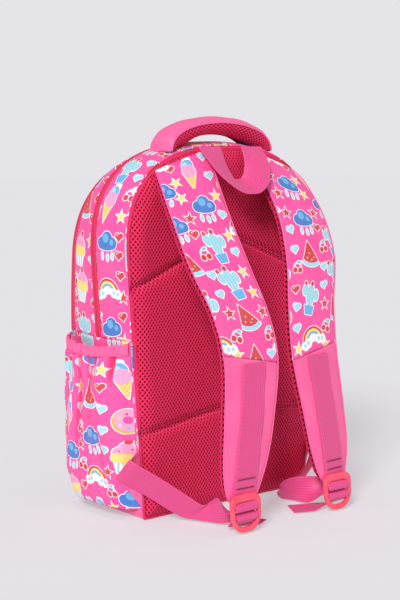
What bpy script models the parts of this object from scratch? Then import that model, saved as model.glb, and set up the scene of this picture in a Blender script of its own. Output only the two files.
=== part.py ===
"""School backpack: padded back, printed body, two shoulder straps, carry handle, zipped front flap.

Metres. +Z is up, +Y is the side that lies against the wearer's back, and the floor is at Z = 0. Pieces named left
are at +X, which is on the left of someone who looks at the straps.
"""
import math

import bmesh
import bpy
from mathutils import Vector

# Body
HEIGHT = 0.391
HALF_WIDTH_BASE = 0.119
HALF_WIDTH_TOP = 0.135
SHOULDER_Z = 0.280          # the arched top starts here
ARCH_POWER = 2.5            # roundness of the arch, as in a superellipse
BACK_Y = 0.0172             # the back seam at the floor; places given as (x, y, z) below count Y from it
LEAN = 0.008                # the back leans forward by this over its height
DEPTH_BASE = 0.112          # depth at the floor, which first grows and then falls with height
DEPTH_RISE = 0.172
DEPTH_FALL = 0.617
SIDE_PUFF = 0.024           # how far sides and top stand out between their seams
FRONT_TUCK = 0.008          # how far the outline draws in at the front seam
PUFF_FROM_Z = 0.100         # the sides are flat at the floor and fully puffed from here up
SHELL = 0.002
GAP = 0.0004

# Zips and panels
ZIP_DISTANCE = 0.052        # main zip's middle, forward of the back seam
TAPE = 0.005                # width of one zip tape
TAPE_THICK = 0.0012
FRONT_ZIP_WIDTH = 0.010
FLAP_Z = 0.190              # the flap folds forward about this height
DIVIDER_DISTANCE = 0.030    # compartment divider, behind the front seam
BASE_RIM_Z = 0.012

# Back pad
PAD_RISE = 0.009
PAD_COVER = 0.002
PAD_FOAM = 0.005
PAD_BOARD = 0.0015
SLEEVE_DISTANCE = 0.017     # inner sleeve, forward of the back seam
SLEEVE_HALF_WIDTH = 0.105
SLEEVE_TOP_Z = 0.255

# Pockets
SIDE_POCKET_PUFF = 0.008
SIDE_POCKET_BINDING = 0.0125
SIDE_POCKET_INSET = 0.011
FRONT_POCKET_PUFF = 0.019
FRONT_POCKET_HALF = 0.102
FRONT_POCKET_Z = (0.015, 0.168)

# Straps, as outer face edges: (outer x, y, z) and (inner x, y, z), from the top seam to the end
STRAP_EDGES = (
    ((0.098, -0.0035, 0.3660), (0.031, -0.0010, 0.3870)),
    ((0.104, 0.0140, 0.3500), (0.033, 0.0180, 0.3600)),
    ((0.108, 0.0400, 0.3130), (0.035, 0.0440, 0.3160)),
    ((0.104, 0.0605, 0.2700), (0.028, 0.0640, 0.2700)),
    ((0.087, 0.0765, 0.2200), (0.0155, 0.0805, 0.2200)),
    ((0.081, 0.0870, 0.1720), (0.011, 0.0910, 0.1720)),
    ((0.086, 0.0930, 0.1120), (0.022, 0.0970, 0.1120)),
    ((0.0895, 0.0955, 0.0720), (0.032, 0.0985, 0.0720)),
    ((0.0870, 0.0960, 0.0420), (0.044, 0.0980, 0.0420)),
    ((0.0800, 0.0955, 0.0300), (0.053, 0.0965, 0.0300)),
)
STRAP_SPLIT_Z = 0.176       # printed cover above, plain cover below
STRAP_COVER = 0.0015
STRAP_FOAM = 0.0055
STRAP_MESH = 0.0015
WEBBING_WIDTH = 0.030
WEBBING = 0.0014
LADDER_WIDTH = 0.038
LADDER_HEIGHT = 0.038
LADDER_THICK = 0.0042
LADDER_CENTRE = (0.067, 0.1025, 0.0215)
LADDER_TILT = math.radians(5)

# Tabs and webbing at the base: a route has each point with the direction of the webbing's width there
TAB_THICK = 0.0020
TAB_BASE_Z = (0.019, 0.076)
TAB_END = ((0.1415, -0.0150, 0.0470), (0.1375, 0.0050, 0.0700))
LOWER_ROUTES = {
    "left": (((0.1374, 0.0014, 0.0533), (-0.13, 0.65, 0.75)),
             ((0.1113, 0.0204, 0.0330), (-0.18, 0.70, 0.69)),
             ((0.0850, 0.0375, 0.0122), (-0.30, 0.78, 0.55)),
             ((0.0775, 0.0555, 0.0158), (-0.10, 0.50, 0.86)),
             ((0.0725, 0.0745, 0.0165), (0.45, 0.10, 0.88)),
             ((0.0672, 0.0905, 0.0175), (1.00, 0.00, 0.10))),
    "right": (((-0.1374, 0.0014, 0.0533), (0.13, 0.65, 0.75)),
              ((-0.1020, 0.0260, 0.0285), (0.18, 0.75, 0.62)),
              ((-0.0640, 0.0290, 0.0125), (0.20, 0.85, 0.45)),
              ((-0.0470, 0.0350, 0.0115), (0.45, 0.70, 0.45)),
              ((-0.0520, 0.0500, 0.0162), (0.30, 0.30, 0.88)),
              ((-0.0640, 0.0700, 0.0170), (-0.30, 0.10, 0.92)),
              ((-0.0672, 0.0905, 0.0175), (-1.00, 0.00, 0.10))),
}
TAIL_ROUTE = (((0.0620, 0.0880, 0.0040), (0.90, -0.30, 0.00)),
              ((0.0480, 0.0820, 0.0022), (0.60, -0.80, 0.00)),
              ((0.0290, 0.0720, 0.0018), (0.50, -0.85, 0.00)))

# Handle and hang loop
HANDLE_HALF_SPAN = 0.069
HANDLE_FOOT_Z = 0.3935
HANDLE_RISE = 0.0215
HANDLE_Y = (-0.045, -0.008)
HANDLE_COVER = 0.002
HANDLE_FOAM = 0.009
HANDLE_MESH = 0.002
LOOP_ROUTE = (((0.0300, 0.0035, 0.3895), (1.00, 0.00, 0.00)),
              ((0.0290, 0.0105, 0.3800), (0.97, 0.20, -0.10)),
              ((0.0250, 0.0190, 0.3660), (0.80, 0.50, -0.30)),
              ((0.0160, 0.0250, 0.3540), (0.50, 0.75, -0.45)),
              ((0.0060, 0.0262, 0.3480), (0.15, 0.85, -0.50)))

# Zip sliders and their pulls
PULL_LENGTH = 0.022
SLIDER_SIZE = (0.0034, 0.009, 0.012)
MAIN_SLIDER_Z = (0.224, 0.239)
FRONT_SLIDER_Z = 0.236
POCKET_SLIDER_X = -0.055
PULL_THICK = 0.0014
PULL_WIDTH = 0.006

# Joint axes, which all run along X: a height, and a distance behind the back seam at the floor
STRAP_AXIS = (-0.0045, 0.3880)
BUCKLE_AXIS = (0.1035, 0.0375)
HANDLE_AXIS = (-0.0265, 0.3900)
LOOP_AXIS = (0.0035, 0.3905)
FLAP_AXIS_DROP = 0.0005     # the flap's axis is this far below its foot
FLAP_AXIS_FORWARD = 0.004   # and this far in front of the front seam

CENTRE = Vector((0, BACK_Y - DEPTH_BASE / 2, HEIGHT / 2))
PRINT = (0.93, 0.13, 0.42)
PLAIN = (0.95, 0.16, 0.45)
MESH = (0.78, 0.03, 0.17)
WEB = (0.80, 0.18, 0.42)
CRIMSON = (0.75, 0.02, 0.20)
PLASTIC = (0.90, 0.07, 0.17)
METAL = (0.80, 0.80, 0.82)
FOAM = (0.90, 0.90, 0.88)
BOARD = (0.20, 0.20, 0.22)
SHARP_ANGLE = math.radians(40)


def clear_scene():
    for obj in list(bpy.data.objects):
        bpy.data.objects.remove(obj, do_unlink=True)


def collection(name):
    made = bpy.data.collections.new(name)
    bpy.context.scene.collection.children.link(made)
    return made


clear_scene()
PARTS = collection("school_backpack")


def material(name, colour, roughness, metallic=0.0):
    made = bpy.data.materials.get(name)
    if made:
        return made
    made = bpy.data.materials.new(name)
    made.use_nodes = True
    shader = made.node_tree.nodes["Principled BSDF"]
    shader.inputs["Base Color"].default_value = (*colour, 1)
    shader.inputs["Roughness"].default_value = roughness
    shader.inputs["Metallic"].default_value = metallic
    return made


def fabric(name, colour):
    return material(name, colour, 0.75)


def add_object(name, mesh, look):
    mesh.materials.append(look)
    mesh.shade_smooth()
    mesh.set_sharp_from_angle(angle=SHARP_ANGLE)
    obj = bpy.data.objects.new(name, mesh)
    PARTS.objects.link(obj)
    return obj


def pivot(name, point, members):
    """An empty on a joint's axis, which carries the pieces that turn about it."""
    empty = bpy.data.objects.new(name, None)
    empty.location = point
    empty.empty_display_size = 0.01
    PARTS.objects.link(empty)
    bpy.context.view_layer.update()
    for member in members:
        obj = bpy.data.objects[member]
        obj.parent = empty
        obj.matrix_parent_inverse = empty.matrix_world.inverted()


def placed(point):
    """A point whose Y is counted from the back seam at the floor."""
    return Vector((point[0], point[1] + BACK_Y, point[2]))


def spaced(low, high, count):
    return [low + (high - low) * i / (count - 1) for i in range(count)]


# ---------------------------------------------------------------- the body's surface

def half_width(z):
    return HALF_WIDTH_BASE + (HALF_WIDTH_TOP - HALF_WIDTH_BASE) * min(z, SHOULDER_Z) / SHOULDER_Z


def rear_y(z):
    return BACK_Y - LEAN * z / HEIGHT


def front_y(z):
    return BACK_Y - (DEPTH_BASE + DEPTH_RISE * z - DEPTH_FALL * z * z)


def depth(z):
    return rear_y(z) - front_y(z)


def arch(u):
    """X, Z and outward direction of the outline: u is -1 at the right foot, 0 at the top, 1 at the left."""
    side = math.copysign(1, u)
    along = abs(u)
    if along > 0.5:
        z = SHOULDER_Z * (2 - 2 * along)
        slope = (HALF_WIDTH_TOP - HALF_WIDTH_BASE) / SHOULDER_Z
        return side * half_width(z), z, Vector((side, 0, -slope)).normalized()
    turn = math.pi / 2 * (1 - 2 * along)
    across = max(math.cos(turn), 0) ** (2 / ARCH_POWER)
    up = math.sin(turn) ** (2 / ARCH_POWER)
    rise = HEIGHT - SHOULDER_Z
    outward = Vector((side * across ** (ARCH_POWER - 1) / HALF_WIDTH_TOP, 0, up ** (ARCH_POWER - 1) / rise))
    return side * HALF_WIDTH_TOP * across, SHOULDER_Z + rise * up, outward.normalized()


def arch_at(z):
    """The outline position, on the left side, at a height below the shoulder."""
    return 1 - z / SHOULDER_Z / 2


def puff(t, z):
    """How far the body stands out at t, from 0 at the back seam to 1 at the front seam."""
    return (SIDE_PUFF * t * (1 - t) - FRONT_TUCK * t * t) * min(1, z / PUFF_FROM_Z)


def skin(u, forward, out=0.0):
    """A point on the sides and top; forward is a distance from the back seam, or a function of height."""
    x, z, outward = arch(u)
    distance = forward(z) if callable(forward) else forward
    shift = outward * (puff(distance / depth(z), z) + out)
    return Vector((x + shift.x, rear_y(z) - distance, z + shift.z))


# ---------------------------------------------------------------- mesh helpers

def grid_mesh(name, rows, closed=False):
    """Quads between rows of points; closed joins each row's end to its start."""
    mesh = bpy.data.meshes.new(name)
    bm = bmesh.new()
    verts = [[bm.verts.new(point) for point in row] for row in rows]
    for low, high in zip(verts, verts[1:]):
        count = len(low)
        for i in range(count if closed else count - 1):
            j = (i + 1) % count
            bm.faces.new((low[i], low[j], high[j], high[i]))
    return mesh, bm, verts


def finish_shell(name, mesh, bm, thickness, look, away_from=CENTRE):
    """Turn the open surface's faces away from a point and thicken it towards that point."""
    bmesh.ops.recalc_face_normals(bm, faces=bm.faces)
    facing = sum(face.normal.dot(face.calc_center_median() - away_from) * face.calc_area() for face in bm.faces)
    if facing < 0:
        bmesh.ops.reverse_faces(bm, faces=bm.faces)
    bm.to_mesh(mesh)
    bm.free()
    obj = add_object(name, mesh, look)
    solid = obj.modifiers.new("thickness", "SOLIDIFY")
    solid.thickness = thickness
    solid.offset = -1
    solid.use_even_offset = False
    return obj


def shell(name, rows, thickness, look, away_from=CENTRE):
    mesh, bm, _ = grid_mesh(name, rows)
    return finish_shell(name, mesh, bm, thickness, look, away_from)


def loft(name, sections, look):
    """A closed solid through sections that are closed loops of equally many points."""
    mesh, bm, verts = grid_mesh(name, sections, closed=True)
    bm.faces.new(verts[0])
    bm.faces.new(verts[-1])
    bmesh.ops.triangulate(bm, faces=bm.faces)
    bmesh.ops.recalc_face_normals(bm, faces=bm.faces)
    bm.to_mesh(mesh)
    bm.free()
    return add_object(name, mesh, look)


def block(name, centre, size, look, rotation=(0, 0, 0), bevel=0.0006):
    bpy.ops.mesh.primitive_cube_add(size=1, location=centre, rotation=rotation)
    obj = bpy.context.object
    obj.scale = size
    bpy.ops.object.transform_apply(location=False, rotation=False, scale=True)
    obj.name = name
    obj.data.name = name
    obj.data.materials.append(look)
    for owner in list(obj.users_collection):
        owner.objects.unlink(obj)
    PARTS.objects.link(obj)
    rounding = obj.modifiers.new("edges", "BEVEL")
    rounding.width = bevel
    rounding.segments = 1
    return obj


def smooth_points(points, per_span):
    """Catmull-Rom points through a list of vectors."""
    padded = [points[0] * 2 - points[1], *points, points[-1] * 2 - points[-2]]
    found = []
    for i in range(1, len(padded) - 2):
        before, start, end, after = padded[i - 1:i + 3]
        for step in range(per_span):
            t = step / per_span
            found.append(0.5 * (2 * start + (end - before) * t + (2 * before - 5 * start + 4 * end - after) * t * t
                                + (3 * start - before - 3 * end + after) * t ** 3))
    return [*found, points[-1].copy()]


def ribbon(name, route, widths, thickness, look, width=WEBBING_WIDTH):
    """A flat band along a route, with the direction of its width at each of the route's points."""
    centres = smooth_points([placed(p) for p in route], 3)
    across = smooth_points([Vector(w).normalized() for w in widths], 3)
    sections = []
    for i, centre in enumerate(centres):
        along = centres[min(i + 1, len(centres) - 1)] - centres[max(i - 1, 0)]
        side = across[i].normalized() * width / 2
        face = along.cross(side).normalized() * thickness / 2
        sections.append([centre - side - face, centre + side - face, centre + side + face, centre - side + face])
    return loft(name, sections, look)


def mirrored(side, points):
    return [Vector((side * p[0], p[1], p[2])) for p in points]


SIDES = (("left", 1), ("right", -1))


# ---------------------------------------------------------------- body panels

def wall(name, low_u, high_u, start, end, count, steps, thickness, look, out=0.0):
    """Part of the sides and top between two positions round the outline and two distances from the back."""
    def between(k):
        def forward(z):
            first = start(z) if callable(start) else start
            last = end(z) if callable(end) else end
            return first + (last - first) * k
        return forward
    rows = [[skin(u, between(k), out) for k in spaced(0, 1, steps)] for u in spaced(low_u, high_u, count)]
    return shell(name, rows, thickness, look)


def plate(name, low_z, forward, out, rise, thickness, look, rings=(1, 0.92, 0.72, 0.4), count=34):
    """A panel across the whole outline from low_z up, crowned by rise towards +Y."""
    foot = arch_at(low_z)
    rim = [skin(u, forward, out) for u in spaced(-foot, foot, count)]
    rim += [rim[-1].lerp(rim[0], k) for k in (0.2, 0.4, 0.6, 0.8)]
    middle = Vector((0, 0, (low_z + HEIGHT) / 2))

    def crowned(point, ring):
        x = middle.x + (point.x - middle.x) * ring
        z = middle.z + (point.z - middle.z) * ring
        distance = forward(z) if callable(forward) else forward
        return Vector((x, rear_y(z) - distance + rise * (1 - ring ** 4), z))
    mesh, bm, verts = grid_mesh(name, [[crowned(p, ring) for p in rim] for ring in rings], closed=True)
    hub = bm.verts.new(crowned(middle, 0))
    last = verts[-1]
    for i, vert in enumerate(last):
        bm.faces.new((vert, last[(i + 1) % len(last)], hub))
    return finish_shell(name, mesh, bm, thickness, look, CENTRE)


def make_back_pad():
    inside = -(SHELL + 0.0008)
    plate("back_cover", 0.0010, 0.0006, inside, PAD_RISE, PAD_COVER, fabric("air_mesh", MESH))
    under_cover = PAD_COVER + 0.0012
    plate("back_foam", 0.0040, under_cover, inside - 0.001, PAD_RISE, PAD_FOAM, fabric("foam", FOAM))
    under_foam = under_cover + PAD_FOAM + 0.0006
    plate("back_board", 0.0045, under_foam, inside - 0.002, PAD_RISE, PAD_BOARD, material("board", BOARD, 0.5))


def make_rear_shell():
    foot = arch_at(FLAP_Z + GAP)
    wall("rear_gusset", -foot, foot, GAP, ZIP_DISTANCE - TAPE - GAP, 41, 5, SHELL, fabric("print", PRINT))
    wall("main_zip_rear_tape", -foot, foot, ZIP_DISTANCE - TAPE, ZIP_DISTANCE - GAP / 2, 41, 2, TAPE_THICK,
         fabric("zip", CRIMSON), -0.0003)
    low = arch_at(BASE_RIM_Z + GAP)
    high = arch_at(FLAP_Z - GAP)
    for word, side in SIDES:
        wall(f"side_wall_{word}", side * high, side * low, GAP, lambda z: depth(z) - GAP, 6, 7, SHELL,
             fabric("print", PRINT))


def make_front_shell():
    foot = arch_at(FLAP_Z + GAP)
    before_zip = FRONT_ZIP_WIDTH + 3 * GAP
    wall("mid_gusset", -foot, foot, ZIP_DISTANCE + TAPE + GAP, lambda z: depth(z) - before_zip, 41, 5, SHELL,
         fabric("print", PRINT))
    wall("main_zip_front_tape", -foot, foot, ZIP_DISTANCE + GAP / 2, ZIP_DISTANCE + TAPE, 41, 2, TAPE_THICK,
         fabric("zip", CRIMSON), -0.0003)
    wall("front_zip", -foot, foot, lambda z: depth(z) - before_zip + GAP, lambda z: depth(z) - GAP, 41, 3,
         TAPE_THICK, fabric("zip", CRIMSON), -0.0003)
    inside = -(SHELL + 0.0008)
    plate("front_panel", FLAP_Z + GAP, lambda z: depth(z) - 0.0005, inside, -0.006, SHELL, fabric("print", PRINT))
    plate("compartment_divider", FLAP_Z + 0.001, lambda z: depth(z) - DIVIDER_DISTANCE, inside - 0.001, 0,
          0.0012, fabric("lining", BOARD))


def make_lower_front():
    rows = []
    for z in spaced(BASE_RIM_Z + GAP, FLAP_Z - 0.0025, 5):
        reach = half_width(z) + puff(1, z) - SHELL - 0.0012
        rows.append([Vector((x, front_y(z) + GAP, z)) for x in spaced(-reach, reach, 5)])
    shell("lower_front_wall", rows, SHELL, fabric("print", PRINT))


def base_outline(inset, z, back_inset):
    """Three sides of the base: from the back on the right, round the front, to the back on the left."""
    corner = 0.012 - min(inset, 0.006)
    reach = HALF_WIDTH_BASE + puff(0.5, z) - inset
    back = rear_y(z) - back_inset
    front = front_y(z) + inset
    points = [Vector((-reach, y, z)) for y in spaced(back, front + corner, 4)]
    for turn in spaced(0, math.pi / 2, 4)[1:]:
        points.append(Vector((-reach + corner * (1 - math.cos(turn)), front + corner * (1 - math.sin(turn)), z)))
    return points + [Vector((-p.x, p.y, p.z)) for p in reversed(points)]


def make_base():
    back_inset = PAD_COVER + 0.0016
    rows = [base_outline(0, BASE_RIM_Z, back_inset), base_outline(0, 0.0045, back_inset),
            base_outline(0.0045, 0, back_inset)]
    mesh, bm, verts = grid_mesh("base_panel", rows)
    bm.faces.new(verts[-1])
    finish_shell("base_panel", mesh, bm, SHELL, fabric("plain", PLAIN), Vector((0, CENTRE.y, 0.05)))
    board_back = rear_y(0) - 0.0160
    board_front = front_y(0) + 0.0100
    block("base_board", (0, (board_back + board_front) / 2, SHELL + 0.0014),
          (2 * HALF_WIDTH_BASE - 0.016, board_back - board_front, 0.002), material("board", BOARD, 0.5))


def make_sleeve():
    rows = []
    for z in (BASE_RIM_Z, 0.130, SLEEVE_TOP_Z):
        rows.append([Vector((x, rear_y(z) - SLEEVE_DISTANCE, z)) for x in
                     (-SLEEVE_HALF_WIDTH, 0, SLEEVE_HALF_WIDTH)])
    shell("inner_sleeve", rows, 0.0012, fabric("lining", BOARD), Vector((0, -1, 0)))


# ---------------------------------------------------------------- pockets

def side_pocket_out(z, distance):
    """How far the side pocket stands off the side wall."""
    length = depth(z) - 2 * SIDE_POCKET_INSET
    along = (distance - SIDE_POCKET_INSET) / length
    rise = min(1, (z - BASE_RIM_Z) / 0.030)
    return 0.0026 + SIDE_POCKET_PUFF * max(0, 1 - (2 * along - 1) ** 4) * (0.25 + 0.75 * rise)


def pocket_band(name, side, low_z, high_z, rows, look):
    """A stretch of side pocket between two heights."""
    points = []
    for z in spaced(low_z, high_z, rows):
        line = []
        for k in spaced(0, 1, 9):
            distance = SIDE_POCKET_INSET + (depth(z) - 2 * SIDE_POCKET_INSET) * k
            line.append(skin(side * arch_at(z), distance, side_pocket_out(z, distance)))
        points.append(line)
    return shell(name, points, SHELL, look)


def make_side_pockets():
    mouth = FLAP_Z - 0.002
    for word, side in SIDES:
        pocket_band(f"side_pocket_{word}", side, BASE_RIM_Z + 0.001, mouth - SIDE_POCKET_BINDING - GAP, 6,
                    fabric("print", PRINT))
        pocket_band(f"side_pocket_binding_{word}", side, mouth - SIDE_POCKET_BINDING, mouth, 2,
                    fabric("plain", PLAIN))


def front_pocket_out(x, z):
    low, high = FRONT_POCKET_Z
    across = max(0, 1 - (abs(x) / FRONT_POCKET_HALF) ** 4) ** 0.5
    up = (z - low) / (high - low)
    return FRONT_POCKET_PUFF * across * min(1, math.sin(math.pi / 2 * min(1, up / 0.35))) * (1 - 0.35 * up)


def make_front_pocket():
    low, high = FRONT_POCKET_Z
    columns = [FRONT_POCKET_HALF * math.sin(math.pi / 2 * k) for k in spaced(-1, 1, 11)]
    clear = SHELL + 0.0003
    rows = [[Vector((x, front_y(z) - clear - front_pocket_out(x, z), z)) for x in columns]
            for z in spaced(low, high, 8)]
    shell("front_pocket", rows, SHELL, fabric("print", PRINT))
    tape_z = high + GAP + TAPE_THICK
    span = spaced(-0.9 * FRONT_POCKET_HALF, 0.9 * FRONT_POCKET_HALF, 9)
    wall_y = front_y(tape_z) - 0.0004
    rows = [[Vector((x, wall_y, tape_z)) for x in span],
            [Vector((x, wall_y - front_pocket_out(x, high) - 0.0010, tape_z)) for x in span]]
    shell("front_pocket_zip", rows, TAPE_THICK, fabric("zip", CRIMSON), Vector((0, wall_y, 0)))


# ---------------------------------------------------------------- zip sliders

def side_slider(name, z, forward):
    """A slider on the right side of the bag, with its pull hanging from it."""
    spot = skin(-arch_at(z), forward, 0.0038)
    block(name, spot, SLIDER_SIZE, material("metal", METAL, 0.3, 1.0))
    pin = spot + Vector((-SLIDER_SIZE[0] / 2 - 0.0013, 0, 0.001))
    block(f"{name}_pull", pin + Vector((0, 0, 0.001 - PULL_LENGTH / 2)), (PULL_THICK, PULL_WIDTH, PULL_LENGTH),
          material("metal", METAL, 0.3, 1.0))
    pivot(f"{name}_pin", pin, [f"{name}_pull"])


def make_sliders():
    low, high = MAIN_SLIDER_Z
    side_slider("main_slider_low", low, ZIP_DISTANCE)
    side_slider("main_slider_high", high + PULL_LENGTH, ZIP_DISTANCE)
    side_slider("front_slider", FRONT_SLIDER_Z, lambda z: depth(z) - FRONT_ZIP_WIDTH / 2 - GAP)
    metal = material("metal", METAL, 0.3, 1.0)
    high = FRONT_POCKET_Z[1]
    zip_top = high + GAP + TAPE_THICK
    middle_y = front_y(high) - front_pocket_out(POCKET_SLIDER_X, high) / 2
    block("pocket_slider", (POCKET_SLIDER_X, middle_y, zip_top + 0.0025), (0.012, 0.008, 0.004), metal)
    pin = Vector((POCKET_SLIDER_X - 0.0068, middle_y, zip_top + 0.0025))
    block("pocket_slider_pull", pin - Vector((0.0007 + PULL_LENGTH / 2, 0, 0)),
          (PULL_LENGTH, PULL_WIDTH, PULL_THICK), metal)
    pivot("pocket_slider_pin", pin, ["pocket_slider_pull"])


# ---------------------------------------------------------------- straps

def strap_stations():
    """Outer and inner edge points of a strap's outer face, the unit vector out of it, and its fullness."""
    outer = smooth_points([placed(pair[0]) for pair in STRAP_EDGES], 2)
    inner = smooth_points([placed(pair[1]) for pair in STRAP_EDGES], 2)
    stations = []
    for i, (one, two) in enumerate(zip(outer, inner)):
        before = (outer[max(i - 1, 0)] + inner[max(i - 1, 0)]) / 2
        after = (outer[min(i + 1, len(outer) - 1)] + inner[min(i + 1, len(inner) - 1)]) / 2
        face = (after - before).cross(one - two).normalized()
        if face.y < 0:
            face.negate()
        stations.append((one, two, face, min(1, 0.25 + i * 0.25)))
    return stations


def strap_layer(name, side, first, last, top, bottom, look, inset=0.0):
    """One layer of a strap: top and bottom are depths under its outer face."""
    sections = []
    for one, two, face, full in strap_stations()[first:last]:
        across = (one - two).normalized() * inset
        a, b = one - across, two + across
        loop = [a - face * top * full, b - face * top * full, b - face * bottom * full, a - face * bottom * full]
        sections.append(mirrored(side, loop))
    return loft(name, sections, look)


def split_station():
    heights = [(one.z + two.z) / 2 for one, two, _, _ in strap_stations()]
    return min(range(len(heights)), key=lambda i: abs(heights[i] - STRAP_SPLIT_Z))


def make_straps():
    count = len(strap_stations())
    split = split_station()
    foam_top = STRAP_COVER + 2 * GAP
    foam_bottom = foam_top + STRAP_FOAM
    mesh_top = foam_bottom + GAP
    for word, side in SIDES:
        strap_layer(f"strap_cover_{word}", side, 0, split + 1, 0, STRAP_COVER, fabric("print", PRINT))
        lower = strap_layer(f"strap_lower_cover_{word}", side, split, count, 0, STRAP_COVER,
                            fabric("plain", PLAIN))
        trim_top(lower)
        strap_layer(f"strap_foam_{word}", side, 0, count, foam_top, foam_bottom, fabric("foam", FOAM), 0.002)
        strap_layer(f"strap_mesh_{word}", side, 0, count, mesh_top, mesh_top + STRAP_MESH,
                    fabric("air_mesh", MESH))
        make_strap_webbing(word, side, split + 1, count)


def trim_top(obj):
    """Lower the plain cover's top edge by a small gap, so that it doesn't touch the printed cover."""
    top = max(vert.co.z for vert in obj.data.vertices)
    for vert in obj.data.vertices:
        if vert.co.z > top - 0.008:
            vert.co.z -= GAP


def make_strap_webbing(word, side, first, last):
    """The webbing sewn down the middle of the plain part."""
    sections = []
    for one, two, face, _ in strap_stations()[first:last]:
        middle = (one + two) / 2 + face * GAP
        reach = (one - two).normalized() * min(WEBBING_WIDTH / 2, (one - two).length / 2 - 0.001)
        loop = [middle - reach, middle + reach, middle + reach + face * WEBBING, middle - reach + face * WEBBING]
        sections.append(mirrored(side, loop))
    return loft(f"strap_webbing_{word}", sections, fabric("webbing", WEB))


def rounded_rectangle(width, height, radius, centre_y=0.0):
    points = []
    for corner_x, corner_y, start in ((1, 1, 0), (-1, 1, 1), (-1, -1, 2), (1, -1, 3)):
        for step in spaced(0, 1, 4):
            turn = math.pi / 2 * (start + step)
            points.append((corner_x * (width / 2 - radius) + radius * math.cos(turn),
                           centre_y + corner_y * (height / 2 - radius) + radius * math.sin(turn)))
    return points


def make_ladder_lock(word, side):
    """A three-bar ladder lock: a flat outline with two slots and a mouth for the strap's own webbing."""
    curve = bpy.data.curves.new(f"ladder_lock_{word}", "CURVE")
    curve.dimensions = "2D"
    curve.fill_mode = "BOTH"
    curve.extrude = LADDER_THICK / 2
    slot = WEBBING_WIDTH + 0.001
    outlines = [rounded_rectangle(LADDER_WIDTH, LADDER_HEIGHT, 0.008),
                rounded_rectangle(slot, 0.0055, 0.0015, 0.0110),
                rounded_rectangle(slot, 0.0055, 0.0015, 0.0010),
                rounded_rectangle(slot, 0.0060, 0.0015, -0.0095)]
    for outline in outlines:
        spline = curve.splines.new("POLY")
        spline.points.add(len(outline) - 1)
        for point, (x, y) in zip(spline.points, outline):
            point.co = (x, y, 0, 1)
        spline.use_cyclic_u = True
    holder = bpy.data.objects.new(f"outline_{word}", curve)
    PARTS.objects.link(holder)
    bpy.context.view_layer.update()
    evaluated = holder.evaluated_get(bpy.context.evaluated_depsgraph_get())
    mesh = bpy.data.meshes.new_from_object(evaluated)
    bpy.data.objects.remove(holder, do_unlink=True)
    bm = bmesh.new()
    bm.from_mesh(mesh)
    bmesh.ops.remove_doubles(bm, verts=bm.verts, dist=0.00001)
    bm.to_mesh(mesh)
    bm.free()
    mesh.materials.clear()
    obj = add_object(f"ladder_lock_{word}", mesh, material("buckle", PLASTIC, 0.35))
    x, y, z = LADDER_CENTRE
    obj.location = placed((side * x, y, z))
    obj.rotation_euler = (math.pi / 2 - LADDER_TILT, 0, 0)


# ---------------------------------------------------------------- tabs and webbing at the base

def make_tab(word, side):
    """The triangle of cloth that holds the lower webbing: sewn along the side seam, narrow at its end."""
    low, high = TAB_BASE_Z
    base = [Vector((half_width(z) + 0.0030, rear_y(z) - 0.0005, z)) for z in (low, high)]
    end = [placed(p) for p in TAB_END]
    face = (end[0] - base[0]).cross(base[1] - base[0]).normalized() * TAB_THICK / 2
    rows = []
    for k in (0, 0.5, 1):
        one = base[0].lerp(end[0], k)
        two = base[1].lerp(end[1], k)
        rows.append(mirrored(side, [one - face, two - face, two + face, one + face]))
    loft(f"strap_tab_{word}", rows, fabric("plain", PLAIN))


def make_lower_webbing():
    for word, side in SIDES:
        make_tab(word, side)
        route = LOWER_ROUTES[word]
        ribbon(f"lower_webbing_{word}", [p for p, _ in route], [w for _, w in route], WEBBING,
               fabric("webbing", WEB))
        make_ladder_lock(word, side)
        route = mirrored(side, [p for p, _ in TAIL_ROUTE])
        widths = mirrored(side, [w for _, w in TAIL_ROUTE])
        ribbon(f"webbing_tail_{word}", route, widths, WEBBING, fabric("webbing", WEB))


# ---------------------------------------------------------------- handle and hang loop

def handle_layer(name, top, bottom, look):
    """A layer of the arched handle: top and bottom are heights over its middle line."""
    rear, front = HANDLE_Y[1] + BACK_Y, HANDLE_Y[0] + BACK_Y
    sections = []
    for turn in spaced(0, math.pi, 17):
        x = -HANDLE_HALF_SPAN * math.cos(turn)
        z = HANDLE_FOOT_Z + HANDLE_RISE * math.sin(turn) ** 0.8
        lift = Vector((-math.cos(turn) * 0.8, 0, math.sin(turn) + 0.15)).normalized()
        over, under = lift * top, lift * bottom
        sections.append([Vector((x, front, z)) + under, Vector((x, rear, z)) + under,
                         Vector((x, rear, z)) + over, Vector((x, front, z)) + over])
    return loft(name, sections, look)


def make_handle():
    half = HANDLE_FOAM / 2
    handle_layer("handle_cover", half + GAP + HANDLE_COVER, half + GAP, fabric("plain", PLAIN))
    handle_layer("handle_foam", half, -half, fabric("foam", FOAM))
    handle_layer("handle_mesh", -half - GAP, -half - GAP - HANDLE_MESH, fabric("air_mesh", MESH))


def make_hang_loop():
    """A loop of webbing: flat in the seam at both ends, and turned by a quarter where it bends round."""
    half = [(Vector(p), Vector(w)) for p, w in LOOP_ROUTE]
    other = [(Vector((-p.x, p.y, p.z)), Vector((-w.x, w.y, w.z))) for p, w in reversed(half)]
    whole = half + other
    ribbon("hang_loop", [p for p, _ in whole], [w for _, w in whole], WEBBING, fabric("webbing", WEB))


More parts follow.
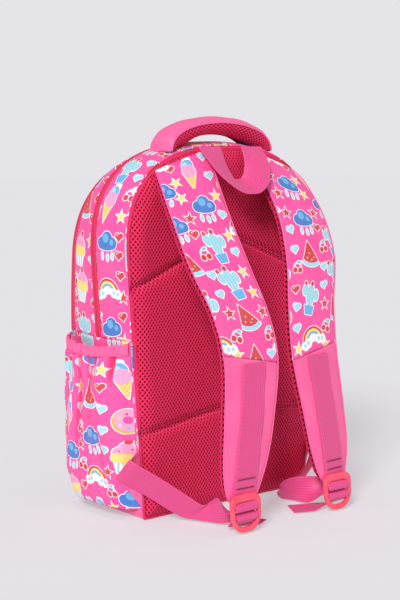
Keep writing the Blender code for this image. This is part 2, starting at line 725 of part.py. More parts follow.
def make_pivots():
    """The axes of the flap, straps, ladder locks, handle and hang loop."""
    flap = Vector((0, front_y(FLAP_Z) - FLAP_AXIS_FORWARD, FLAP_Z - FLAP_AXIS_DROP))
    pivot("flap_axis", flap, ["mid_gusset", "main_zip_front_tape", "front_zip", "front_panel",
                              "compartment_divider", "front_slider"])
    for word, _ in SIDES:
        layers = ("cover", "lower_cover", "foam", "mesh", "webbing")
        pivot(f"strap_axis_{word}", placed((0, *STRAP_AXIS)), [f"strap_{layer}_{word}" for layer in layers])
        pivot(f"buckle_axis_{word}", placed((0, *BUCKLE_AXIS)), [f"ladder_lock_{word}", f"webbing_tail_{word}"])
    pivot("handle_axis", placed((0, *HANDLE_AXIS)), ["handle_cover", "handle_foam", "handle_mesh"])
    pivot("loop_axis", placed((0, *LOOP_AXIS)), ["hang_loop"])


make_back_pad()
make_rear_shell()
make_front_shell()
make_lower_front()
make_base()
make_sleeve()
make_side_pockets()
make_front_pocket()
make_sliders()
make_straps()
make_lower_webbing()
make_handle()
make_hang_loop()
make_pivots()
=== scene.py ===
"""School backpack: its cloth, padding, webbing, zips and print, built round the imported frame. Metres."""
import functools
import math

import bpy
import numpy as np
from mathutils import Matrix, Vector


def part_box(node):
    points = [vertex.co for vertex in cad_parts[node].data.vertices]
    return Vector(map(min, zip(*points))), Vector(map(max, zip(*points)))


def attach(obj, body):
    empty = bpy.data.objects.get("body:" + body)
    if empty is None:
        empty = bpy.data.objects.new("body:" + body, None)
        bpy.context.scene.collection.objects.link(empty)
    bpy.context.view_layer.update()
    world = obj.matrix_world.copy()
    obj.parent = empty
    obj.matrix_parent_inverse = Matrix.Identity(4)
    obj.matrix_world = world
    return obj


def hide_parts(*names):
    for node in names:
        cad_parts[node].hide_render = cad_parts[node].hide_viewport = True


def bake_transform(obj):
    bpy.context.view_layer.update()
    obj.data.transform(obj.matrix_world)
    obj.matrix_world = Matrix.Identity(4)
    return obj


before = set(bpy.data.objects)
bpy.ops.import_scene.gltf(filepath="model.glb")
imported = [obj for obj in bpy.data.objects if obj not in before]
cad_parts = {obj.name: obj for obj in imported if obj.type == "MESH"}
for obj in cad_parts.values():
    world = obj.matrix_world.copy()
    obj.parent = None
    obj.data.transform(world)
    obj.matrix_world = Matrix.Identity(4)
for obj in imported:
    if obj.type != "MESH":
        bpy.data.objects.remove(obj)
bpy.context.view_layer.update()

# ---------------------------------------------------------------- sizes, the same as in the CAD

HEIGHT = 0.391
HALF_WIDTH_BASE = 0.119
HALF_WIDTH_TOP = 0.135
SHOULDER_Z = 0.280
ARCH_POWER = 2.5
BACK_Y = 0.0172             # the back seam at the floor
LEAN = 0.008
DEPTH_BASE, DEPTH_RISE, DEPTH_FALL = 0.112, 0.172, 0.617
SIDE_PUFF = 0.024
FRONT_TUCK = 0.008
PUFF_FROM_Z = 0.100
ZIP_DISTANCE = 0.052
TAPE = 0.005
FRONT_ZIP_WIDTH = 0.010
ZIP_TOOTH = 0.0016
FLAP_Z = 0.190
FLAP_BEND_Z = 0.222         # top of the band above FLAP_Z where the flap's cloth bends; nothing in this script bends it
BASE_RIM_Z = 0.012
BASE_CORNER = 0.014
PAD_RISE = 0.009
POCKET_INSET = 0.0030
POCKET_PUFF = 0.024
POCKET_BINDING = 0.0125
SLEEVE_HALF, SLEEVE_TOP_Z, SLEEVE_HEM = 0.105, 0.2550, 0.0150
FRONT_POCKET_Z = (0.015, 0.168)
FRONT_POCKET_HALF = 0.102
FRONT_POCKET_PUFF = 0.024
STRAP_EDGES = (
    ((0.098, -0.0035, 0.3660), (0.031, -0.0010, 0.3870)),
    ((0.104, 0.0140, 0.3500), (0.033, 0.0180, 0.3600)),
    ((0.108, 0.0400, 0.3130), (0.035, 0.0440, 0.3160)),
    ((0.104, 0.0605, 0.2700), (0.028, 0.0640, 0.2700)),
    ((0.087, 0.0765, 0.2200), (0.0155, 0.0805, 0.2200)),
    ((0.081, 0.0870, 0.1720), (0.011, 0.0910, 0.1720)),
    ((0.086, 0.0930, 0.1120), (0.022, 0.0970, 0.1120)),
    ((0.0895, 0.0955, 0.0720), (0.032, 0.0985, 0.0720)),
    ((0.0870, 0.0960, 0.0420), (0.044, 0.0980, 0.0420)),
    ((0.0800, 0.0955, 0.0300), (0.053, 0.0965, 0.0300)),
)
STRAP_THICK = 0.0093
STRAP_SPLIT_Z = (0.181, 0.168)   # where print meets plain cloth, at the outer and the inner edge
WEBBING_WIDTH = 0.030
WEBBING = 0.0014
LADDER_CENTRE = (0.067, 0.1025, 0.0215)
LADDER_TILT = math.radians(5)
HANDLE_HALF_SPAN = 0.069
HANDLE_FOOT_Z = 0.3935
HANDLE_RISE = 0.0215
HANDLE_HALF_WIDTH = 0.0185
HANDLE_HALF_THICK = 0.0098
HANDLE_Y = -0.0265
HANDLE_BEND = ((0, 0, 0.3925), (0, 0, 0.4085))
LOOP_BEND = ((0, 0, 0.3905), (0, 0, 0.376))
SIDES = (("left", 1), ("right", -1))

# Cloth and stitches
CLOTH = 0.0014              # thickness of the walls' cloth with its lining
STRAP_CLOTH = 0.0012        # of the covers of straps and handle
CLOTH_STEP = 0.0030
MESH_HALF_A, MESH_HALF_B = 0.0021, 0.0029   # half diagonals of one hole's diamond in the air mesh
MESH_DEPTH = 0.0014
STITCH = 0.0030
THREAD = 0.00035


def srgb(red, green, blue):
    """A colour given as 0 to 255 on screen, as linear light."""
    return tuple((c / 255 / 12.92) if c <= 10 else ((c / 255 + 0.055) / 1.055) ** 2.4
                 for c in (red, green, blue)) + (1,)


PINK = srgb(252, 66, 158)
PLAIN_PINK = srgb(252, 84, 154)
RASPBERRY = srgb(238, 40, 92)
# Painted shade at the bottom of the air mesh's holes.
PIT_SHADE_RASPBERRY = srgb(158, 0, 28)
CRIMSON = srgb(232, 34, 92)
WEBBING_PINK = srgb(230, 76, 142)
# Painted shade for the valleys of the printed cloth's folds, and how strongly it is mixed in.
FOLD_SHADE_PINK = srgb(226, 18, 84)      # in the valleys of a gathered cloth
FOLD_SHADE_SHARE = 0.80
CORAL = srgb(250, 40, 84)
LINING_PINK = srgb(226, 70, 140)
YARN_PINK = srgb(252, 84, 140)
# Painted shade in the grooves between the webbing's ribs.
GROOVE_SHADE_PINK = srgb(204, 44, 108)
ZIP_SHADE = srgb(168, 14, 58)
THREAD_PINK = srgb(244, 112, 170)
TACK_RED = srgb(176, 30, 86)
SLIDER_LIGHT, SLIDER_DARK = srgb(248, 150, 190), srgb(226, 60, 120)
BOARD_GREY = srgb(60, 60, 66)
WHITE = srgb(252, 248, 250)
PALE_BLUE = srgb(165, 220, 236)
SKY_BLUE = srgb(96, 178, 228)
BLUE = srgb(52, 118, 200)
YELLOW = srgb(252, 224, 116)
ORANGE = srgb(238, 172, 60)
RED = srgb(214, 36, 52)
ROSE = srgb(250, 160, 204)
GREEN = srgb(120, 205, 190)


# ---------------------------------------------------------------- materials

class Value:
    """A number or vector at each point of a material, which takes ordinary arithmetic."""

    def __init__(self, graph, socket):
        self.graph, self.socket = graph, socket


for sign, operation in (("add", "ADD"), ("sub", "SUBTRACT"), ("mul", "MULTIPLY"), ("truediv", "DIVIDE")):
    setattr(Value, f"__{sign}__", lambda self, other, name=operation: self.graph.math(name, self, other))
    setattr(Value, f"__r{sign}__", lambda self, other, name=operation: self.graph.math(name, other, self))


class Graph:
    """A Principled material and the nodes that feed it."""

    def __init__(self, name, **sockets):
        self.material = bpy.data.materials.new(name)
        self.material.use_nodes = True
        self.tree = self.material.node_tree
        self.shader = self.tree.nodes["Principled BSDF"]
        for key, value in sockets.items():
            self.shader.inputs[key.replace("_", " ")].default_value = value

    def put(self, socket, value):
        if isinstance(value, Value):
            self.tree.links.new(value.socket, socket)
        else:
            socket.default_value = value

    def node(self, kind, inputs, output=0, **settings):
        made = self.tree.nodes.new(kind)
        for key, value in settings.items():
            setattr(made, key, value)
        for key, value in inputs.items():
            self.put(made.inputs[key], value)
        return Value(self, made.outputs[output])

    def math(self, operation, *values, clamp=False):
        return self.node("ShaderNodeMath", dict(enumerate(values)), operation=operation, use_clamp=clamp)

    def vector(self, operation, first, second, output=0):
        key = "Scale" if operation == "SCALE" else 1
        return self.node("ShaderNodeVectorMath", {0: first, key: second}, output, operation=operation)

    def split(self, value):
        made = self.tree.nodes.new("ShaderNodeSeparateXYZ")
        self.put(made.inputs[0], value)
        return [Value(self, made.outputs[i]) for i in range(3)]

    def join(self, x, y, z=0.0):
        return self.node("ShaderNodeCombineXYZ", {0: x, 1: y, 2: z})

    def mix(self, share, first, second):
        return self.node("ShaderNodeMix", {0: share, 6: first, 7: second}, 2, data_type="RGBA")

    def least(self, *shapes):
        """Shapes joined."""
        return functools.reduce(lambda one, other: self.math("MINIMUM", one, other), shapes)

    def most(self, *shapes):
        """What shapes have in common."""
        return functools.reduce(lambda one, other: self.math("MAXIMUM", one, other), shapes)

    def cloth_place(self):
        """The place on the cloth, in millimetres."""
        return self.vector("SCALE", self.node("ShaderNodeUVMap", {}, uv_map="cloth"), 1000.0)

    def attribute(self, name):
        return self.node("ShaderNodeAttribute", {}, 2, attribute_name=name)

    def noise(self, place, scale, detail=2.0):
        return self.node("ShaderNodeTexNoise", {"Vector": place, "Scale": scale, "Detail": detail})

    def bump(self, height, strength, distance):
        made = self.node("ShaderNodeBump", {"Height": height, "Strength": strength, "Distance": distance})
        self.put(self.shader.inputs["Normal"], made)

    def colour(self, value):
        self.put(self.shader.inputs["Base Color"], value)

    def disc(self, x, y, radius):
        return self.vector("DISTANCE", self.spot, (x, y, 0), 1) - radius

    def discs(self, *each):
        return self.least(*[self.disc(*one) for one in each])

    def oval(self, x, y, half_x, half_y):
        squeezed = self.vector("MULTIPLY", self.vector("SUBTRACT", self.spot, (x, y, 0)), (1 / half_x, 1 / half_y, 0))
        return (self.vector("LENGTH", squeezed, (0, 0, 0), 1) - 1.0) * min(half_x, half_y)

    def side_of(self, angle, distance):
        """The half plane whose edge is distance away from the middle, in the direction of angle."""
        turn = math.radians(angle)
        return self.vector("DOT_PRODUCT", self.spot, (math.cos(turn), math.sin(turn), 0), 1) - distance

    def polygon(self, *edges):
        return self.most(*[self.side_of(*edge) for edge in edges])

    def paint(self, colour, *layers):
        """Layers over a colour, each with the shape it fills."""
        for shape, layer in layers:
            cover = self.math("MULTIPLY_ADD", shape, -1 / PAINT_EDGE, 0.5, clamp=True)
            colour = self.mix(cover, colour, layer)
        return colour


# Motifs: a shape is a distance in millimetres, negative inside, and each motif gives its colours and its outline.

def cupcake(g):
    x, y, _ = g.split(g.spot)
    cup = g.polygon((-15, 10.2), (195, 10.2), (90, -1), (270, 16))
    frosting = g.discs((-7.6, 0.5, 5), (0, 0, 6), (7.6, 0.5, 5))
    cream = g.least(g.oval(0, 6.5, 11, 7), g.disc(0, 12, 5.6))
    cherry = g.disc(1, 18.4, 2.9)
    stripes = g.mix(g.math("GREATER_THAN", g.math("COSINE", (x * 1.15) - (x * y * 0.012)), 0.0), WHITE, PALE_BLUE)
    sprinkle = g.discs((-5, 8, 0.9), (4, 10, 0.9), (1, 5.6, 0.9))
    colour = g.paint(WHITE, (cup, stripes), (cream, ROSE), (sprinkle, RED), (frosting, YELLOW), (cherry, RED))
    return colour, g.least(cup, frosting, cream, cherry)


def ice_cream(g):
    x, y, _ = g.split(g.spot)
    cone = g.polygon((-21, 7.8), (201, 7.8), (90, 0))
    lattice = g.least(g.math("PINGPONG", x + y, 2.2), g.math("PINGPONG", x - y, 2.2)) - 0.45
    pink, blue, shine = g.disc(0, 2.5, 8.4), g.disc(0, 10, 7.2), g.disc(-2.5, 11, 3.6)
    top = g.discs((1, 16.5, 4.6), (1.5, 20.5, 2.4))
    wafer = g.polygon((20, 8.5), (200, -5.2), (110, 23), (290, -16))
    colour = g.paint(WHITE, (cone, YELLOW), (g.most(cone, lattice), ORANGE), (wafer, YELLOW), (top, WHITE),
                     (blue, SKY_BLUE), (shine, PALE_BLUE), (pink, ROSE))
    return colour, g.least(cone, pink, blue, top, wafer)


def cactus(g):
    x, _, _ = g.split(g.spot)
    green = g.least(g.oval(0, 2, 6.4, 12.5), g.oval(-9, 7.5, 4.4, 6.6), g.oval(9, 3.5, 4.2, 6.4))
    ridge = g.most(green + 0.8, g.math("PINGPONG", x, 2.0) - 0.35)
    pot = g.polygon((-12, 9.2), (192, 9.2), (90, -9), (270, 19))
    flower = g.discs((-9.5, 15, 2.3), (1, 15.6, 2.7))
    return (g.paint(WHITE, (green, PALE_BLUE), (ridge, GREEN), (pot, SKY_BLUE), (flower, RED)),
            g.least(green, pot, flower))


def melon(g):
    wedge = g.polygon((38, 9), (164, 9))
    rind, flesh = g.most(wedge, g.disc(2, 14, 24)), g.most(wedge, g.disc(2, 14, 19.5))
    seeds = g.discs((-4, 0, 0.9), (3, -2, 0.9), (-1, 5, 0.9), (6, 1, 0.8))
    return g.paint(WHITE, (rind, PALE_BLUE), (flesh, RED), (seeds, YELLOW)), rind


def rainbow(g):
    _, y, _ = g.split(g.spot)
    radius = g.vector("DISTANCE", g.spot, (0, -6, 0), 1)
    above = -6.0 - y
    bands = [(g.most(radius - reach, above), band)
             for reach, band in ((16.0, RED), (13.4, YELLOW), (10.8, SKY_BLUE), (8.2, WHITE))]
    cloud = g.discs((-14, -7, 4.6), (-8.6, -5.4, 4.8), (14, -7, 4.6), (8.6, -5.4, 4.8))
    colour = g.paint(WHITE, *bands, (cloud, WHITE), (cloud + 2.6, PALE_BLUE))
    return colour, g.least(bands[0][0], cloud)


def doughnut(g):
    ring = g.disc(0, 0, 13)
    dots = []
    for index, dot in enumerate((SKY_BLUE, RED, YELLOW, WHITE, SKY_BLUE, RED)):
        turn = index * math.tau / 6 + 0.4
        dots.append((g.disc(7.6 * math.cos(turn), 7.6 * math.sin(turn), 1.1), dot))
    return g.paint(WHITE, (ring, ORANGE), (g.disc(0.6, 0.8, 11.4), ROSE), *dots, (g.disc(0.5, 1, 4), PINK)), ring


def rain_cloud(g):
    cloud = g.least(g.discs((-8, 1, 6.4), (0, 5, 8), (8, 1, 6.4)), g.oval(0, -2, 12, 4.5))
    drops = g.least(g.oval(-7, -12, 1.9, 3.4), g.oval(1, -13.5, 1.9, 3.4), g.oval(8, -12, 1.9, 3.4))
    light = g.discs((-2, 6, 4.6), (7, 2, 3))
    return g.paint(WHITE, (cloud, BLUE), (light, SKY_BLUE), (drops, PALE_BLUE)), g.least(cloud, drops)


def heart(g, colour, size=5.2):
    """Two discs over a square that stands on its corner."""
    point = g.polygon((-45, size * 0.60), (225, size * 0.60), (45, size * 0.42), (135, size * 0.42))
    lobe = (size * 0.34, size * 0.56)
    shape = g.least(g.discs((-size * 0.5, *lobe), (size * 0.5, *lobe)), point)
    return g.paint(WHITE, (shape, colour), (g.disc(-2.4, 2.4, 0.8), WHITE)), shape


def star(g, colour, size=6.6):
    """One point of the star, folded over onto the other four."""
    x, y, _ = g.split(g.spot)
    turn = g.math("PINGPONG", g.math("ARCTAN2", x, y), math.tau / 10)
    radius = g.vector("LENGTH", g.spot, (0, 0, 0), 1)
    slope = math.radians(36) * 0.55
    shape = (radius * g.math("COSINE", turn) * math.sin(slope) + radius * g.math("SINE", turn) * math.cos(slope)
             - size * math.sin(slope))
    return g.paint(WHITE, (shape, colour)), shape


def cherries(g):
    fruit = g.discs((-3.4, -2.6, 3.2), (3.6, -3.4, 3.2))
    stem = g.most(g.disc(0.4, 0.4, 5.4), 4.6 - g.disc(0.4, 0.4, 0.0), g.side_of(270, 0))
    leaf = g.oval(3, 5.6, 2.8, 1.5)
    return g.paint(WHITE, (stem, GREEN), (fruit, RED), (leaf, GREEN)), g.least(fruit, stem, leaf)


LARGE = (cupcake, ice_cream, cactus, melon, rainbow, doughnut, rain_cloud)
SMALL = (lambda g: heart(g, RED), lambda g: star(g, YELLOW), lambda g: heart(g, PALE_BLUE), lambda g: star(g, RED),
         cherries)
PRINT_PITCH = 43.0
OUTLINE = 0.8               # width of the white line round each motif
PAINT_EDGE = 0.25           # over which one colour of the print changes to another


def scatter(g, ground, motifs, local_x, local_y, cell, wander, sway):
    """One motif in each cell, picked, moved and turned a little by the cell's own random numbers."""
    random = g.tree.nodes.new("ShaderNodeTexWhiteNoise")
    g.put(random.inputs["Vector"], cell)
    r, s, t = g.split(Value(g, random.outputs["Color"]))
    x = local_x - (r - 0.5) * wander
    y = local_y - (s - 0.5) * wander
    turned = g.node("ShaderNodeVectorRotate", {"Vector": g.join(x, y), "Angle": (t - 0.5) * sway},
                    rotation_type="Z_AXIS")
    pick = g.math("FLOOR", Value(g, random.outputs["Value"]) * float(len(motifs)))
    colour = ground
    g.spot = turned
    for index, motif in enumerate(motifs):
        chosen = g.math("COMPARE", pick, float(index), 0.5)
        painted, shape = motif(g)
        cover = g.math("MULTIPLY_ADD", shape, -4.0, 0.5 + 4 * OUTLINE, clamp=True)
        colour = g.mix(chosen * cover, colour, painted)
    return colour


def printed(g, ground):
    """Sweets, fruit and clouds in a brick pattern, with hearts and stars between them."""
    x, y, _ = g.split(g.cloth_place())
    column = g.math("FLOOR", x / PRINT_PITCH)
    high = y + g.math("FLOORED_MODULO", column, 2.0) * (PRINT_PITCH / 2)
    row = g.math("FLOOR", high / PRINT_PITCH)
    large_x = x - (column + 0.5) * PRINT_PITCH
    large_y = high - (row + 0.5) * PRINT_PITCH
    small_pitch = PRINT_PITCH / 2
    step = g.math("FLOOR", x / PRINT_PITCH + 0.5)
    level = g.math("FLOOR", y / small_pitch)
    small_x = x - step * PRINT_PITCH
    small_y = y - (level + 0.5) * small_pitch
    colour = scatter(g, ground, SMALL, small_x, small_y, g.join(step, level, 7.0), 4.0, 0.6)
    return scatter(g, colour, LARGE, large_x, large_y, g.join(column, row, 3.0), 5.0, 0.45)


def weave(g, place, pitch, strength=0.12):
    """Fine over-and-under threads, and a slow unevenness of the cloth."""
    x, y, _ = g.split(place)
    rate = math.tau / pitch
    threads = g.math("SINE", x * rate) * g.math("SINE", y * rate)
    slow = g.noise(place, 0.05)
    g.bump(threads * 0.5 + slow * 2.0, strength, 0.0003)


def cloth_material(name, ground, roughness, sheen=0.12, print_it=False):
    g = Graph(name, Roughness=roughness, Sheen_Weight=sheen, Sheen_Roughness=0.45, Sheen_Tint=(1, 0.75, 0.9, 1),
              Specular_IOR_Level=0.35)
    place = g.cloth_place()
    colour = printed(g, ground) if print_it else ground
    faded = g.mix(g.math("MULTIPLY", g.noise(place, 0.03), 0.10), colour, WHITE)
    # Printed cloth is mixed towards painted shade in the valleys of folds, where its mesh marks them.
    g.colour(g.mix(g.attribute("fold_shade") * FOLD_SHADE_SHARE, faded, FOLD_SHADE_PINK) if print_it else faded)
    weave(g, place, 0.7)
    return g.material


def air_mesh_material():
    """Spacer mesh: bright ridges of yarn round holes that are darkened with painted shade."""
    g = Graph("air_mesh", Roughness=0.7, Specular_IOR_Level=0.15)
    pit_shade = g.attribute("pit_shade")
    place = g.node("ShaderNodeTexCoord", {}, 3)
    yarn = g.noise(place, 900.0)
    bright = g.mix(yarn * 0.6, RASPBERRY, YARN_PINK)
    # The holes are mixed towards painted shade, most at their bottoms.
    g.colour(g.mix(g.math("POWER", pit_shade, 0.8), bright, PIT_SHADE_RASPBERRY))
    g.bump(yarn, 0.35, 0.0003)
    return g.material


def webbing_material():
    """Ribbed polypropylene webbing: the ribs are in the mesh; the yarn's twill and the painted shade in the grooves
    between the ribs are here.
    """
    g = Graph("webbing", Roughness=0.42, Sheen_Weight=0.15, Specular_IOR_Level=0.45)
    x, y, _ = g.split(g.cloth_place())
    twill = g.math("SINE", x * 3.0 + y * 5.2)
    # Grooves between the ribs are mixed towards painted shade.
    g.colour(g.mix(g.attribute("groove_shade") * 0.5, WEBBING_PINK, GROOVE_SHADE_PINK))
    g.bump(twill, 0.18, 0.0002)
    return g.material


def zip_material():
    g = Graph("zip_tape", Roughness=0.5, Sheen_Weight=0.1, Specular_IOR_Level=0.4)
    x, _, _ = g.split(g.cloth_place())
    # Painted shade between the zip's teeth and beside its coil.
    g.colour(g.mix(g.attribute("groove_shade") * 0.8, CRIMSON, ZIP_SHADE))
    g.bump(g.math("SINE", x * 9.0), 0.15, 0.0002)
    return g.material


def plastic_material(name, colour, roughness):
    g = Graph(name, Roughness=roughness, Coat_Weight=0.15, Coat_Roughness=0.2)
    place = g.node("ShaderNodeTexCoord", {}, 3)
    g.colour(g.mix(g.noise(place, 60.0) * 0.12, colour, WHITE))
    g.bump(g.noise(place, 700.0), 0.06, 0.0003)
    return g.material


def paint_metal_material():
    g = Graph("slider_paint", Roughness=0.28, Metallic=0.35, Coat_Weight=0.5, Coat_Roughness=0.1)
    place = g.node("ShaderNodeTexCoord", {}, 3)
    g.colour(g.mix(g.noise(place, 120.0) * 0.2, SLIDER_DARK, SLIDER_LIGHT))
    return g.material


PRINT = cloth_material("printed_cloth", PINK, 0.50, print_it=True)
PLAIN = cloth_material("plain_cloth", PLAIN_PINK, 0.46)
LINING = cloth_material("lining_cloth", LINING_PINK, 0.55)
AIR_MESH = air_mesh_material()
WEB = webbing_material()
ZIP = zip_material()
BUCKLE = plastic_material("buckle_plastic", CORAL, 0.32)
BOARD = plastic_material("board_plastic", BOARD_GREY, 0.55)
SLIDER = paint_metal_material()
THREAD_LOOK = cloth_material("thread", THREAD_PINK, 0.6)
DARK_THREAD = cloth_material("bar_tack_thread", TACK_RED, 0.6)


# ---------------------------------------------------------------- the body's surface

def half_width(z):
    return HALF_WIDTH_BASE + (HALF_WIDTH_TOP - HALF_WIDTH_BASE) * np.minimum(z, SHOULDER_Z) / SHOULDER_Z


def rear_y(z):
    return BACK_Y - LEAN * z / HEIGHT


def depth(z):
    return DEPTH_BASE + DEPTH_RISE * z - DEPTH_FALL * z * z - LEAN * z / HEIGHT


def front_y(z):
    return rear_y(z) - depth(z)


def outline_table(count=4001):
    """The outline of the back: length from the top's middle, X, Z, and the outward direction's X and Z."""
    u = np.linspace(-1, 1, count)
    side, along = np.sign(u), np.abs(u)
    turn = np.clip(math.pi / 2 * (1 - 2 * along), 0, math.pi / 2)
    leg_z = SHOULDER_Z * (2 - 2 * along)
    leg = along > 0.5
    x = side * np.where(leg, half_width(leg_z), HALF_WIDTH_TOP * np.maximum(np.cos(turn), 0) ** (2 / ARCH_POWER))
    z = np.where(leg, leg_z, SHOULDER_Z + (HEIGHT - SHOULDER_Z) * np.sin(turn) ** (2 / ARCH_POWER))
    length = np.concatenate([[0], np.cumsum(np.hypot(np.diff(x), np.diff(z)))])
    length -= length[count // 2]
    even = np.linspace(length[0], length[-1], count)
    x, z = np.interp(even, length, x), np.interp(even, length, z)
    along_x, along_z = np.gradient(x, even), np.gradient(z, even)
    size = np.hypot(along_x, along_z)
    return even, x, z, -along_z / size, along_x / size


OUTLINE_S, OUTLINE_X, OUTLINE_Z, OUT_X, OUT_Z = outline_table()


def outline_at(z):
    """Length along the outline, from the top's middle to a height on the left leg."""
    half = len(OUTLINE_S) // 2
    return float(np.interp(-z, -OUTLINE_Z[half:], OUTLINE_S[half:]))


def puff(share, z):
    return (SIDE_PUFF * share * (1 - share) - FRONT_TUCK * share ** 2) * np.minimum(1, z / PUFF_FROM_Z)


def skin(s, distance, out):
    """Points on the sides and top, at lengths s along the outline and distances forward of the back seam."""
    x, z = np.interp(s, OUTLINE_S, OUTLINE_X), np.interp(s, OUTLINE_S, OUTLINE_Z)
    reach = puff(distance / depth(z), z) + out
    return np.stack([x + np.interp(s, OUTLINE_S, OUT_X) * reach, rear_y(z) - distance,
                     z + np.interp(s, OUTLINE_S, OUT_Z) * reach], -1)


def ripple(a, b, size, seed, count=7):
    """A smooth uneven relief, about -1 to 1, over two coordinates in metres."""
    random = np.random.default_rng(seed)
    total = 0
    for _ in range(count):
        turn, phase = random.uniform(0, math.tau, 2)
        rate = math.tau / (size * random.uniform(0.6, 1.7))
        total = total + np.sin((a * math.cos(turn) + b * math.sin(turn)) * rate + phase)
    return total / count * 1.6


def seam_dip(distance, deep=0.0012, width=0.0028):
    """Cloth draws in beside a seam."""
    return -deep * np.exp(-(distance / width) ** 2)


def ease(value):
    value = np.clip(value, 0, 1)
    return value * value * (3 - 2 * value)


def cubic(before, start, end, after, t):
    """A smooth curve from start to end, as t runs from 0 to 1."""
    return 0.5 * (2 * start + (end - before) * t + (2 * before - 5 * start + 4 * end - after) * t ** 2
                  + (3 * start - before - 3 * end + after) * t ** 3)


def catmull(points, per_span):
    """A smooth curve through points, one to a row."""
    points = np.array(points, float)
    padded = np.vstack([2 * points[0] - points[1], points, 2 * points[-1] - points[-2]])
    found = []
    for i in range(1, len(padded) - 2):
        before, start, end, after = padded[i - 1:i + 3]
        t = np.arange(per_span)[:, None] / per_span
        found.append(cubic(before, start, end, after, t))
    return np.vstack([*found, points[-1:]])


def unit(vectors):
    return vectors / np.maximum(np.linalg.norm(vectors, axis=-1, keepdims=True), 1e-12)


def reach_along(route):
    """Length from a route's start to each of its points."""
    return np.concatenate([[0], np.cumsum(np.linalg.norm(np.diff(route, axis=0), axis=1))])


def blend_rows(at, reach, table):
    """A table of vectors, one for each reach, read at other reaches."""
    return np.stack([np.interp(at, reach, table[:, i]) for i in range(3)], -1)


# ---------------------------------------------------------------- meshes

CENTRE = np.array([0, BACK_Y - 0.056, 0.18])


def grid_faces(rows, columns, closed=False, start=0):
    """Quads of a grid whose points are numbered row by row."""
    row = np.arange(rows - 1)[:, None] * columns
    column = np.arange(columns if closed else columns - 1)[None, :]
    after = (column + 1) % columns
    faces = np.stack([row + column, row + after, row + columns + after, row + columns + column], -1)
    return faces.reshape(-1, 4) + start


def outward(points, faces, away):
    """Faces turned so that their normals point away from a place."""
    first, second, third = points[faces[:, 0]], points[faces[:, 1]], points[faces[:, 2]]
    normal = np.cross(second - first, third - first)
    return faces if np.sum(normal * (first - away)) > 0 else faces[:, ::-1]


def mesh_object(name, points, face_sets, look, uv=None, attributes=None):
    """A smooth mesh of quads, triangles or larger faces. uv is by point, or by face corner."""
    mesh = bpy.data.meshes.new(name)
    points = np.asarray(points, float).reshape(-1, 3)
    flat = np.concatenate([faces.reshape(-1) for faces in face_sets])
    sizes = np.concatenate([np.full(len(faces), faces.shape[1]) for faces in face_sets])
    mesh.vertices.add(len(points))
    mesh.vertices.foreach_set("co", points.ravel())
    mesh.loops.add(len(flat))
    mesh.loops.foreach_set("vertex_index", flat)
    mesh.polygons.add(len(sizes))
    mesh.polygons.foreach_set("loop_start", np.concatenate([[0], np.cumsum(sizes)[:-1]]))
    mesh.update(calc_edges=True)
    if uv is not None:
        corners = uv if len(uv) == len(flat) and len(uv) != len(points) else np.asarray(uv).reshape(-1, 2)[flat]
        mesh.uv_layers.new(name="cloth").data.foreach_set("uv", corners.ravel())
    for key, values in (attributes or {}).items():
        mesh.attributes.new(key, "FLOAT", "POINT").data.foreach_set("value", np.asarray(values, float).ravel())
    mesh.shade_smooth()
    for material in look if isinstance(look, (list, tuple)) else [look]:
        mesh.materials.append(material)
    obj = bpy.data.objects.new(name, mesh)
    bpy.context.scene.collection.objects.link(obj)
    return obj


def thicken(obj, thickness):
    """Give a sheet its thickness towards its inner side, which shows the second material if it has one."""
    solid = obj.modifiers.new("thickness", "SOLIDIFY")
    solid.thickness = thickness
    solid.offset = -1
    solid.material_offset = len(obj.data.materials) - 1
    return obj


def declare_cut(points):
    """Measure a sheet's cut, a grid of points, along its two directions; the lengths are not kept."""
    one = np.linalg.norm(np.diff(points, axis=0), axis=-1).sum(0).max()
    other = np.linalg.norm(np.diff(points, axis=1), axis=-1).sum(1).max()


def sheet_of(name, points, uv, look, thickness=CLOTH, away=CENTRE, closed=False, attributes=None, held="stretched",
             cut=None):
    """A sheet of cloth on a grid of points. cut is the grid it was cut to, where it was sewn up shorter."""
    rows, columns = points.shape[:2]
    faces = outward(points.reshape(-1, 3), grid_faces(rows, columns, closed), away)
    obj = mesh_object(name, points, [faces], look, uv.reshape(-1, 2), attributes)
    if held:
        declare_cut(points if cut is None else cut)
    return thicken(obj, thickness)


def tube(name, route, radius, look, sides=8):
    """A round thread or piping along a route."""
    route = np.asarray(route, float)
    along = unit(np.gradient(route, axis=0))
    first = unit(np.cross(along, [0.31, 0.57, 0.76]))   # a direction that no route here follows
    second = np.cross(along, first)
    turn = np.linspace(0, math.tau, sides, endpoint=False)
    ring = np.cos(turn)[None, :, None] * first[:, None] + np.sin(turn)[None, :, None] * second[:, None]
    points = route[:, None] + ring * radius
    step = np.arange(sides)[None]
    faces = [grid_faces(len(route), sides, True), step[:, ::-1], step + (len(route) - 1) * sides]
    uv = np.stack(np.broadcast_arrays(np.cumsum(np.full(len(route), radius))[:, None], turn[None] * radius), -1)
    return mesh_object(name, points, faces, look, uv.reshape(-1, 2))


